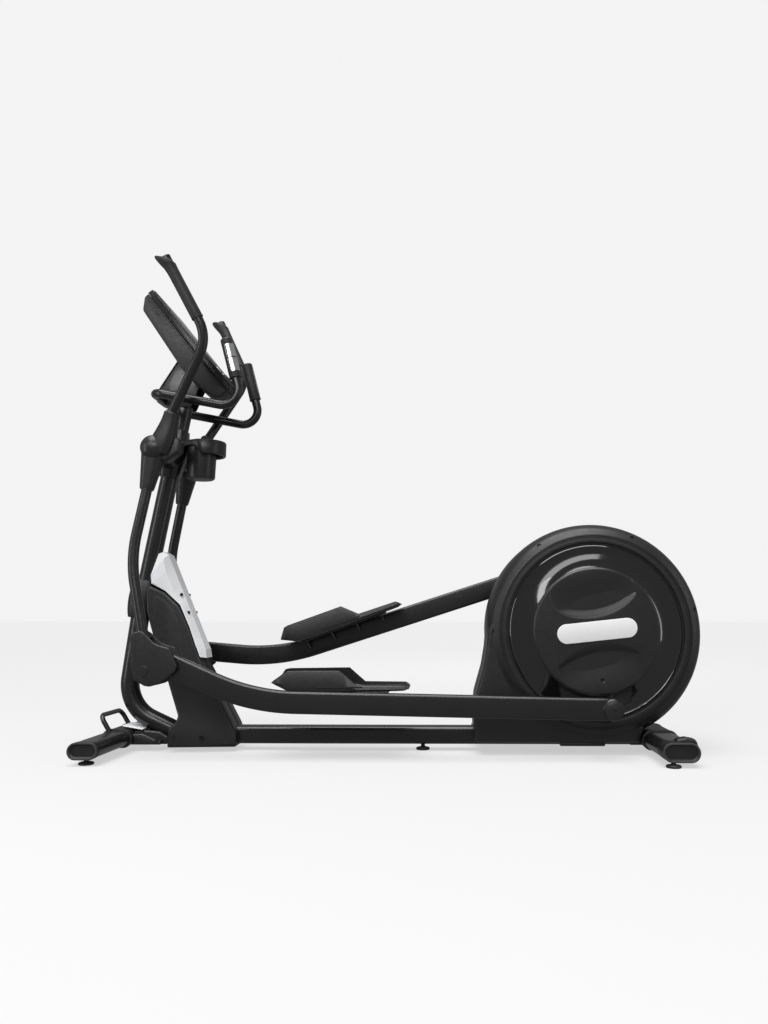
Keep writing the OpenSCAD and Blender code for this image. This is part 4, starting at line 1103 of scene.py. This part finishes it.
@dataclass
class PedalArm:
    """One pedal arm with its pedal, shelf and crank bolt."""

    shop: Workshop
    name: str
    side: int
    length: float = 1540.0
    middle: float = 232.0
    section: tuple[float, float] = (36.0, 72.0)
    corner: tuple[float, float] = (357.0, -66.0)
    front: tuple[float, float] = (78.0, 32.0)
    seat: tuple[float, float] = (453.0, -24.0)
    pitch: float = 5.0
    tread_width: float = 146.0
    gap: float = 4.0

    def __post_init__(self) -> None:
        """Finds this arm's frame."""
        self.place = LINKAGE.arm_place(self.side)

    def tube(self) -> None:
        """The bent box tube, its tongue, its bearing housing and the gusseted shelf."""
        w, h = self.section
        y = self.middle
        corners = [(self.front[0], y, self.front[1]), (self.corner[0], y, self.corner[1]),
                   (self.length - 14, y, 0)]
        path = spread(fillet(corners, [0, 800, 0], 26, closed=False), 45)
        tube = sweep(path, rounded_box(w, h, 8.5, 6), crown=3)
        eye = turned([(0, y - 20), (31, y - 20), (34.5, y - 17.5), (36, y - 14), (36, y + 14),
                      (34.5, y + 17.5), (31, y + 20), (0, y + 20)], (self.length, 0), 64)
        tongue = plate(fillet([(-20, 14), (-22, -10), (-4, -23), (14, -22), (92, -3), (88, 60),
                               (2, 24)], [8, 14, 14, 20, 4, 4, 14]), y - 17, y + 17, 3)
        self.shop.add(f"arm_{self.name}_tube", tube + eye + tongue, self.place, POWDER,
                      [f"pedal_arm_{self.name}"])
        inner = y - w / 2
        shelf = plate(rounded_box(340, 5.5, 1.5), inner - 108, inner + 0.8, 1.2)
        shelf.points += np.array([182.0, 0, -11])
        ribs = []
        for x in (34.5, 134.5, 234.5, 334.5):
            tri = np.array([(-62, -9), (0.5, -9), (0.5, -42), (-14, -42)], float)
            grid = np.stack([np.stack([np.full(4, x + dx), inner + tri[:, 0], tri[:, 1]], 1)
                             for dx in (-2.5, 2.5)])
            ribs.append(Skin.from_grid(grid))
        self.shop.add(f"arm_{self.name}_shelf", joined([shelf, *ribs]), self._seated(), POWDER,
                      [f"+pedal_arm_{self.name}"])

    def _seated(self) -> Place:
        """The frame of the pedal, pitched on its arm."""
        c, s = math.cos(math.radians(self.place.angle)), math.sin(math.radians(self.place.angle))
        x, z = self.seat
        return Place(self.place.x + x * c - z * s, self.place.z + x * s + z * c,
                     self.place.angle + self.pitch, self.side)

    def _edges(self) -> tuple[float, float]:
        """Y of the pedal's inner and outer side."""
        outer = self.middle - self.section[0] / 2 - self.gap
        return outer - self.tread_width, outer

    def tray(self) -> None:
        """The pedal: a boat-shaped tray with high toe walls and a low heel.

        Each station across the length has a U section: outer wall, rolled top, inner wall, floor.
        """
        mid, half = sum(self._edges()) / 2, self.tread_width / 2
        x = np.array([-41, -38, -30, -16, 0, 12, 60, 120, 186, 198, 208, 220, 234, 248, 262, 300, 340,
                      380, 403, 413, 419], float)
        bottom = np.interp(x, [-41, 0, 21, 350, 402, 419], [22, 3, -8, -8, -7, -1])
        tops = {1: np.interp(x, [-41, -38, 6, 14, 190, 247, 404, 413, 419],
                             [23, 27, 58, 62, 60, 11, 8, 4, 0]),
                -1: np.interp(x, [-41, -38, -16, -8, 208, 262, 404, 413, 419],
                              [23, 28, 60, 63.5, 64, 16, 13, 8, 1])}
        floor = np.interp(x, [-41, -16, 10, 60, 403, 419], [22.5, 24, 3, 1, 2.5, -0.5])
        wide = half * np.interp(x, [-41, -30, 4, 40, 396, 410, 419], [0.84, 0.91, 0.99, 1, 1, 0.98, 0.92])
        lip = np.interp(x, [-41, -20, 20, 419], [9, 8, 7, 6])
        lean = np.interp(x, [-41, 0, 208, 262, 419], [3, 10, 10, 3, 2])

        def wall(way: int) -> list[Array]:
            """Lines of points down the pedal, from its bottom over one wall to its floor."""
            top = tops[way]
            low = np.minimum(floor, top - 1.5)
            crease = bottom + (top - bottom) * 0.36
            steps = [(wide - 7, bottom), (wide - 2, bottom + 1.5), (wide, crease),
                     (wide - lean * 0.9, top - 2), (wide - lean - 1.5, top),
                     (wide - lean - lip + 2.5, top), (wide - lean - lip, top - 1.4),
                     (wide - lean * 0.5 - lip - 2, low + (top - low) * 0.12),
                     (wide - lean * 0.5 - lip - 6, low)]
            return [np.stack([x, mid + way * o, z], 1) for o, z in steps]

        tray = Skin.from_grid(np.stack([*wall(1), *wall(-1)[::-1]], 1))
        self.shop.add(f"pedal_{self.name}_tray", tray, self._seated(), TREAD,
                      [f"pedal_{self.name}"], 24)

    def studs(self) -> None:
        """Rows of small tapered studs on the tread, every other row shifted by half a step."""
        mid = sum(self._edges()) / 2
        gx, gy = np.meshgrid(np.arange(24.0, 392, 15.5), np.arange(-50.0, 51, 12.5), indexing="ij")
        gx = gx + 7.5 * (np.arange(gx.shape[1]) % 2)[None]
        centres = np.stack([gx.ravel(), mid + gy.ravel()], 1)
        low, high = rounded_box(9, 6, 2, 2), rounded_box(6, 3.4, 1, 2)
        rows = np.stack([np.concatenate([low, np.full((len(low), 1), -0.5)], 1),
                         np.concatenate([low, np.full((len(low), 1), 1.2)], 1),
                         np.concatenate([high, np.full((len(high), 1), 2.6)], 1)])
        single = Skin.from_grid(rows)
        rise = np.interp(centres[:, 0], [10, 60, 403], [3, 1, 2.5])
        shift = np.concatenate([centres, rise[:, None]], 1)
        points = (single.points[None] + shift[:, None]).reshape(-1, 3)
        count = len(single.points)
        faces = [[k + i * count for k in f] for i in range(len(centres)) for f in single.faces]
        self.shop.add(f"pedal_{self.name}_studs", Skin(points, faces), self._seated(), RUBBER,
                      [f"+pedal_{self.name}"])

    def slots(self) -> None:
        """A long slot low on each side of the pedal, drawn as a thin near-black strip that paints the shade
        inside the slot.
        """
        slot = []
        for s, edge in zip((-1, 1), self._edges()):
            rail = plate(rounded_box(150, 5, 2.2), edge - s * 5, edge + s * 0.25, 0.4)
            rail.points += np.array([190.0, 0, 6.5])
            slot.append(rail)
        # The strips are near-black: painted shade standing in for the inside of each slot.
        self.shop.add(f"pedal_{self.name}_slots", joined(slot), self._seated(), BLACK_AND_SHADE,
                      [f"+pedal_{self.name}"])

    def bolt(self) -> None:
        """Crank bolt under a domed cap with a small socket."""
        y = self.middle + self.section[0] / 2
        shank = turned([(0, 206.5), (10, 206.5), (10, y + 4), (0, y + 4)], (self.length, 0), 32)
        r = np.linspace(30, 5.2, 9)
        crown = [(k, y + 15 - 4 * (k / 30) ** 2.4 + 2.5) for k in r]
        cap = turned([(0, y + 2), (30, y + 2), (31.5, y + 4), (31.5, y + 10), *crown, (4.4, y + 15.5),
                      (4.0, y + 13.5), (0, y + 13.2)], (self.length, 0), 64)
        self.shop.add(f"crank_bolt_{self.name}_skin", shank + cap, self.place, SHELL_SOFT,
                      [f"crank_bolt_{self.name}"])

    def build(self) -> None:
        """Builds the arm and what it carries."""
        self.tube()
        self.tray()
        self.studs()
        self.slots()
        self.bolt()


# --------------------------------------------------------------------------- swing arm


@dataclass
class SwingArm:
    """One swing arm: sockets on the pivot, tubes, grip, fork and lower cover."""

    shop: Workshop
    name: str
    side: int
    hub: float = 185.0
    arm: float = 232.0
    reach: float = 765.0

    def __post_init__(self) -> None:
        """Finds this arm's frame."""
        self.place = LINKAGE.swing_place(self.side)

    def up(self, x: float, z: float) -> tuple[float, float, float]:
        """A point above the pivot, splayed outwards."""
        return (x, self.hub + 0.215 * z, z)

    def down(self, x: float, z: float) -> tuple[float, float, float]:
        """A point below the pivot, splayed outwards."""
        return (x, self.hub - (self.arm - self.hub) / self.reach * z, z)

    def tubes(self) -> None:
        """Lower tube with its fork, and upper tube."""
        foot = (-14, 115 - self.reach)
        corners = [self.down(-6, -52), self.down(-68, -385), self.down(*foot)]
        low = spread(fillet(corners, [0, 450, 0], 24, closed=False), 30)
        tube = sweep(low, ring(18, 40))
        fork = fillet([(-22, -self.reach - 8), (-16, -self.reach - 20), (16, -self.reach - 20),
                       (22, -self.reach - 8), (14, foot[1] + 2), (-34, foot[1] + 2)],
                      [10, 14, 14, 10, 4, 4])
        cheeks = plate(fork, 208, 213, 1.2) + plate(fork, 251, 256, 1.2)
        bridge = plate(rounded_box(48, 6, 1.5), 208, 256, 1)
        bridge.points += np.array([-10.0, 0, foot[1]])
        self.shop.add(f"swing_{self.name}_tube", tube + cheeks + bridge, self.place, POWDER,
                      [f"swing_tube_{self.name}"])
        corners = [self.up(24, 44), self.up(204, 372), self.up(72, 645)]
        high = spread(fillet(corners, [0, 130, 0], 24, closed=False), 25)
        self.shop.add(f"swing_{self.name}_handle", sweep(high, ring(17, 40)), self.place, POWDER,
                      [f"swing_handle_{self.name}"])

    def socket(self) -> None:
        """Moulded socket: a boot up to the handle, a boot down to the tube, and a hub between."""
        t = np.linspace(0, 1, 16)[:, None]
        top0, top1 = np.array([16.0, self.hub + 2, -10]), np.array(self.up(67, 122))
        boot = top0 + (top1 - top0) * t
        boot[:, 0] += 4 * np.sin(math.pi * t[:, 0])
        scale = 43 - 18 * smooth(t[:, 0] * 0.96)
        upper = sweep(boot, rounded_box(1.9, 2.1, 0.86, 8), scale=scale, crown=3)
        low0, low1 = np.array([0.0, self.hub, 6]), np.array(self.down(-24, -146))
        boot = low0 + (low1 - low0) * t
        scale = 45 - 22 * t[:, 0] ** 0.9
        lower = sweep(boot, rounded_box(1.9, 2.06, 0.86, 8), scale=scale, crown=3)
        hub = turned([(0, 141), (38, 141), (41, 144), (43, 152), (43, 208), (41.5, 215), (39, 217),
                      (0, 217)], (0, 0), 64)
        bridge = fillet([(-20, 20), (10, 44), (60, 52), (96, 22), (90, -20), (40, -52), (0, -44)], 18)
        self.shop.add(f"swing_{self.name}_socket",
                      joined([upper, lower, hub, plate(bridge, 150, 206, 12, 6)]), self.place, SHELL,
                      [f"swing_socket_{self.name}"])
        cover = dome((0, 0), 41, 216, 17, 5)
        self.shop.add(f"swing_{self.name}_cap", cover, self.place, SHELL_SOFT,
                      [f"+swing_socket_{self.name}"])
        a = math.radians(52)
        s = np.linspace(-39, 39, 30)
        rise = 221.35 + 17 * (1 - np.abs(s / 41) ** 2.2)
        seam = np.stack([s * math.cos(a), rise, s * math.sin(a)], 1)
        self.shop.add(f"swing_{self.name}_cap_seam", sweep(seam, ring(0.55, 8)), self.place, BLACK_AND_SHADE,
                      [f"+swing_socket_{self.name}"])
        for k, point, turn, radius in ((0, top1, self.up(204, 372), 24.0), (1, low1,
                                       self.down(-68, -385), 23.5)):
            axis = unit(np.array(turn) - point)
            lip = np.stack([point - axis * 2.5, point + axis * 1.5])
            self.shop.add(f"swing_{self.name}_lip_{k}", sweep(lip, ring(radius - 2, 48), crown=1.2),
                          self.place, RIM, [f"+swing_socket_{self.name}"])

    def grip(self) -> None:
        """Moulded grip that flares into a slanted, flat tip."""
        bend, tip = np.array(self.up(204, 372)), np.array(self.up(72, 645))
        axis = unit(tip - bend)
        start = bend + axis * 74
        length = float(np.linalg.norm(tip - start))
        d = np.array([0, 2, 5, 40, length - 74, length - 52, length - 34, length - 20, length - 6,
                      length + 4, length + 9, length + 11.5])
        r = np.array([18.6, 19.8, 20.2, 20.0, 20.0, 20.6, 22.2, 24.2, 25.6, 25.4, 24.0, 21.0])
        lean = np.array([0, 0, 0, 0, 0, 0.3, 1.2, 3.0, 6.0, 9.0, 10.0, 10.0])
        ahead = np.cross(np.array([0.0, 1.0, 0.0]), axis)
        path = start + axis * d[:, None] - ahead * lean[:, None]
        skin = sweep(path, ring(1, 48), scale=r, start=ahead)
        drop = (skin.points - start) @ axis
        across = (skin.points - start) @ ahead
        near_tip = smooth((drop - length + 40) / 46)
        skin.points -= axis * (near_tip * (across + 24) * 0.78)[:, None]
        self.shop.add(f"swing_{self.name}_grip", skin, self.place, GRIP, [f"swing_grip_{self.name}"])
        collar = sweep(np.stack([start - axis * 1.5, start + axis * 3]), ring(20.8, 48), crown=1.0)
        self.shop.add(f"swing_{self.name}_grip_lip", collar, self.place, RUBBER,
                      [f"+swing_grip_{self.name}"])

    def cover(self) -> None:
        """Two-sided cover of the lower joint, with a rolled top edge and a round boss."""
        shape = fillet([(-43, 122), (-34, 133), (-8, 137), (6, 128), (42, 92), (88, 78), (114, 19),
                        (109, 2), (59, -36), (18, -46), (-27, -23), (-38, 22)],
                       [10, 10, 10, 16, 60, 12, 12, 12, 30, 34, 26, 30], 7)
        outer = plate(shape, 259, 269, 5.5, 6)
        inner = plate(shape, 202, 207.4, 2.5)
        rim = fillet([(-43, 122), (-34, 133), (-30, 128), (-36, 112), (-32, 22), (-22, -18), (0, -34),
                      (18, -46), (-27, -23), (-38, 22)], 6)
        wall = plate(rim, 203, 264, 3)
        skin = joined([outer, inner, wall])
        skin.points[:, 2] -= self.reach
        self.shop.add(f"swing_{self.name}_cover", skin, self.place, SHELL,
                      [f"swing_cover_{self.name}"])
        boss = turned([(0, 268), (19.5, 268), (19.5, 269.6), (18.4, 270.2), (17.6, 269.4),
                       (16.4, 269.4), (15.8, 270.3), (0, 270.5)], (1, -self.reach + 4), 48)
        self.shop.add(f"swing_{self.name}_boss", boss, self.place, SHELL_SOFT,
                      [f"+swing_cover_{self.name}"])
        pin = screw((-21, -self.reach + 104), 269.2, 4.2)
        self.shop.add(f"swing_{self.name}_cover_screw", pin, self.place, BLACK_AND_SHADE,
                      [f"+swing_cover_{self.name}"])
        self.shop.dress(STEEL, f"lower_axle_{self.name}")

    def build(self) -> None:
        """Builds the whole arm."""
        self.tubes()
        self.socket()
        self.grip()
        self.cover()


# --------------------------------------------------------------------------- console


@dataclass
class Console:
    """Console: bezel, back shell, display window, keys and trim."""

    shop: Workshop
    half: float = 165.0
    tilt: float = 50.8
    waist: float = 140.0
    step: float = 12.0

    def __post_init__(self) -> None:
        """Finds the console's frame: +X runs down its face and +Z out of it."""
        self.place = Place(mast_x(1245) + 51.4, 1478.3, -self.tilt)

    def waisted(self, skin: Skin) -> Skin:
        """Draws both sides in towards the lower end: y (1 - 0.72 t^1.15), t from 0 to 1 down it."""
        x, y, z = skin.points.T
        narrow = 1 - 0.72 * np.clip((x - self.waist) / 82, 0, 1) ** 1.15
        return Skin(np.stack([x, y * narrow, z], 1), skin.faces)

    def build(self) -> None:
        """Builds the console."""
        bezel = fillet([(-211, -3), (-205, 0), (196, 0), (212, -4), (220, -12), (221, -23),
                        (-211, -23)], [3, 4, 20, 10, 6, 2, 2], 5)
        lid = plate(closed_spread(bezel, self.step), -self.half, self.half, 3, 4)
        self.shop.add("console_bezel_skin", self.waisted(lid), self.place, FACE, ["console_bezel"])
        back = fillet([(-209, -24.2), (220, -24.2), (223, -56), (216, -74), (176, -94), (98, -98),
                       (-171, -76), (-206, -42)], [2, 2, 12, 14, 24, 40, 22, 10], 6)
        shell = plate(closed_spread(back, self.step), -self.half + 1.5, self.half - 1.5, 4, 5)
        self.shop.add("console_back_skin", self.waisted(shell), self.place, SHELL, ["console_back"])
        sliver = plate(rounded_box(300, 3.4, 1.4), -self.half + 12, self.half - 12, 1.0)
        sliver.points += np.array([-56.0, 0, 0.6])
        self.shop.add("console_edge_trim", sliver, self.place, GLOSS, ["+console_bezel"])
        window = plate(rounded_box(258, 3.0, 1.2), -self.half + 36, self.half - 36, 1.0)
        window.points += np.array([-60.0, 0, -0.3])
        self.shop.add("console_window", window, self.place, GLASS, ["console_screen"])
        frame = []
        for x0, x1, y0, y1 in ((-198, -190, -137, 137), (70, 78, -137, 137), (-198, 78, -137, -129),
                               (-198, 78, 129, 137)):
            strip = plate(rounded_box(x1 - x0, 4, 1.4), y0, y1, 1.2)
            strip.points += np.array([(x0 + x1) / 2, 0, 0.4])
            frame.append(strip)
        self.shop.add("console_window_trim", joined(frame), self.place, GLOSS, ["+console_bezel"])
        for key, y in (("key_start", -40), ("key_stop", 40)):
            rows = [(0, -10), (12, -10), (12, 0.9), (11.2, 1.8), (9, 2.0), (0, 1.5)]
            button = turned(rows, (0, 0), 40)
            button.points = button.points[:, [0, 2, 1]] + np.array([130.0, y, 0])
            self.shop.add(f"{key}_skin", button.outwards(), self.place, BADGE, [key])
        ledge = plate(fillet([(166, -2), (172, 9), (180, 9), (188, 3), (212, 0), (212, -4)], 3),
                      -62, 62, 2)
        self.shop.add("console_ledge", ledge, self.place, SHELL, ["+console_bezel"])
        # Vent slots on both sides: thin near-black strips, painted shade standing in for the inside of each
        # slot.
        slots = []
        for s in (LEFT, RIGHT):
            for x, z in ((-128, -44), (96, -60)):
                vent = plate(rounded_box(24, 5, 2.2), s * (self.half - 6), s * (self.half - 1.2), 0.4)
                vent.points += np.array([x, 0.0, z])
                slots.append(vent)
        self.shop.add("console_slots", joined(slots), self.place, BLACK_AND_SHADE, ["+console_back"])


@dataclass
class FixedBars:
    """Fixed handlebar, its grips and the pulse plates."""

    shop: Workshop
    radius: float = 16.0
    reach: float = 152.0
    grip_length: float = 145.0
    grip: float = 21.3
    height: float = 1260.0
    stand_off: float = 73.0
    wrap: float = 68.0
    plate_middle: float = 72.0

    def path(self, side: int) -> Array:
        """One arm: across in front of the mast, back under the console, then up."""
        z = self.height
        x = mast_x(z) - self.stand_off
        corners = [(x, 0, z), (x, side * self.reach, z), (x + 331, side * self.reach, z - 65),
                   (x + 261, side * self.reach, z + 191)]
        return spread(fillet(corners, [0, 46, 55, 0], 20, closed=False), 22)

    def build(self) -> None:
        """Builds both arms, the grips and the plates."""
        arms, grips, plates, lips = [], [], [], []
        for side in (LEFT, RIGHT):
            path = self.path(side)
            arms.append(sweep(path, ring(self.radius, 36), start=np.array([0, 0, 1.0])))
            top, axis = path[-1], unit(path[-1] - path[-2])
            foot = top - axis * self.grip_length
            d = np.array([0, 1.5, 4, 60, 120, self.grip_length, self.grip_length + 4,
                          self.grip_length + 5])
            r = self.grip + np.array([-3, -0.6, 0, -0.3, 0, 0, -2.6, -7])
            grips.append(sweep(foot + axis * d[:, None], ring(1, 40), scale=r))
            a = np.radians(180 - 45 * side + np.linspace(-self.wrap, self.wrap, 22))
            across = np.array([0.0, 1.0, 0.0])
            up = np.cross(axis, across)
            arc = np.cos(a)[:, None] * up + np.sin(a)[:, None] * across
            centre = foot + axis * self.plate_middle
            for low, high in ((-52, -2), (2, 52)):
                inner = self.grip - 0.6
                rows = [(low, inner), (low, inner + 1.3), (high, inner + 1.3), (high, inner)]
                grid = np.stack([centre + axis * h + arc * q for h, q in rows])
                plates.append(Skin.from_grid(grid.transpose(1, 0, 2)))
            lips.append(sweep(np.stack([foot - axis * 1.5, foot + axis * 2]), ring(22.2, 40), crown=0.8))
        self.shop.add("fixed_bar_skin", joined(arms), BASE, POWDER, ["fixed_handlebar"])
        self.shop.add("fixed_grips_skin", joined(grips), BASE, GRIP, ["fixed_grips"])
        self.shop.add("pulse_plates_skin", joined(plates), BASE, CHROME, ["pulse_plates"])
        self.shop.add("fixed_grip_lips", joined(lips), BASE, RUBBER, ["+fixed_grips"])


# --------------------------------------------------------------------------- studio


@dataclass
class Studio:
    """Pale floor, backdrop, lights and camera.

    Attributes:
        shade: How much light the floor's paper returns.
        backdrop: Brightness of the backdrop behind the machine.
        fill: Strength of the even light from all around.
        key: Strength of the broad light from above.
        glow: Light that the floor gives off itself, so that it meets the backdrop.
    """

    shade: float = 0.26
    backdrop: float = 0.90
    fill: float = 0.27
    key: float = 3.0
    glow: float = 0.545

    def floor(self) -> None:
        """One wide flat sheet of pale paper that glows a little, so that it meets the backdrop."""
        mesh = bpy.data.meshes.new("studio_floor")
        mesh.from_pydata([(-60, -60, 0), (60, -60, 0), (60, 60, 0), (-60, 60, 0)], [], [[0, 1, 2, 3]])
        paper = Finish("studio_paper", (self.shade,) * 3, 0.9, scale=200, depth=0.00001, mottle=0.0,
                       specular=0.0).build()
        shader = paper.node_tree.nodes["Principled BSDF"]
        shader.inputs["Emission Color"].default_value = (1, 1, 1, 1)
        shader.inputs["Emission Strength"].default_value = self.glow
        mesh.materials.append(paper)
        obj = bpy.data.objects.new("studio_floor", mesh)
        bpy.context.scene.collection.objects.link(obj)
        obj.visible_glossy = False
        obj.visible_diffuse = False

    def lights(self) -> None:
        """A dim even fill with a pale backdrop, a broad key from above and a soft box at the left."""
        world = bpy.data.worlds.new("studio_world")
        world.use_nodes = True
        tree = world.node_tree
        lit = tree.nodes["Background"]
        lit.inputs["Color"].default_value = (1, 1, 1, 1)
        lit.inputs["Strength"].default_value = self.fill
        seen = tree.nodes.new("ShaderNodeBackground")
        seen.inputs["Color"].default_value = (1, 1, 1, 1)
        seen.inputs["Strength"].default_value = self.backdrop
        ray, mix = tree.nodes.new("ShaderNodeLightPath"), tree.nodes.new("ShaderNodeMixShader")
        tree.links.new(ray.outputs["Is Camera Ray"], mix.inputs[0])
        tree.links.new(lit.outputs[0], mix.inputs[1])
        tree.links.new(seen.outputs[0], mix.inputs[2])
        tree.links.new(mix.outputs[0], tree.nodes["World Output"].inputs["Surface"])
        bpy.context.scene.world = world
        bpy.context.scene.view_settings.view_transform = "Standard"
        sun = bpy.data.lights.new("key_light", "SUN")
        sun.energy, sun.angle = self.key, math.radians(50)
        obj = bpy.data.objects.new("key_light", sun)
        obj.rotation_euler = (math.radians(14), math.radians(-6), 0)
        bpy.context.scene.collection.objects.link(obj)
        for name, place, turn, size, power in (
                ("left_box", (-1.5, -3.4, 2.5), (54, 0, -26), (1.8, 0.8), 34),
                ("front_box", (0.3, -5.6, 3.4), (58, 0, 0), (3.4, 1.5), 70),
                ("left_strip", (-3.3, -1.6, 1.1), (84, 0, -64), (0.5, 2.2), 16),
                ("right_strip", (3.5, -1.2, 1.1), (84, 0, 70), (0.4, 2.2), 9),
                ("rear_box", (0.3, 3.4, 2.6), (-52, 0, 180), (2.4, 0.8), 14)):
            light = bpy.data.lights.new(name, "AREA")
            light.shape, light.size, light.size_y, light.energy = "RECTANGLE", *size, power
            obj = bpy.data.objects.new(name, light)
            obj.location = place
            obj.rotation_euler = tuple(math.radians(a) for a in turn)
            bpy.context.scene.collection.objects.link(obj)

    def camera(self) -> None:
        """The camera, level with the machine's middle and tilted a little up."""
        data = bpy.data.cameras.new("view_camera")
        data.lens, data.sensor_width = 28.477, 36.0
        data.shift_x, data.shift_y = -0.04775, -0.0161
        obj = bpy.data.objects.new("view_camera", data)
        obj.location = (0.206 + BASE_MIDDLE * MM, -2.953, 0.467)
        obj.rotation_euler = (math.radians(98.42), 0, math.radians(0.93))
        bpy.context.scene.collection.objects.link(obj)
        bpy.context.scene.camera = obj

    def build(self) -> None:
        """Sets the whole studio."""
        self.floor()
        self.lights()
        self.camera()


def main() -> None:
    """Builds every sub-assembly in order."""
    logging.basicConfig(level=logging.INFO, format="%(name)s: %(message)s")
    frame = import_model()
    shop = Workshop(frame)
    FloorFrame(shop).build()
    MastGroup(shop).build()
    Shroud(shop).build()
    DriveHousing(shop).build()
    Crankset(shop).build()
    for name, side in SIDES.items():
        PedalArm(shop, name, side).build()
        SwingArm(shop, name, side).build()
    Console(shop).build()
    FixedBars(shop).build()
    Studio().build()


if __name__ == "__main__":
    main()
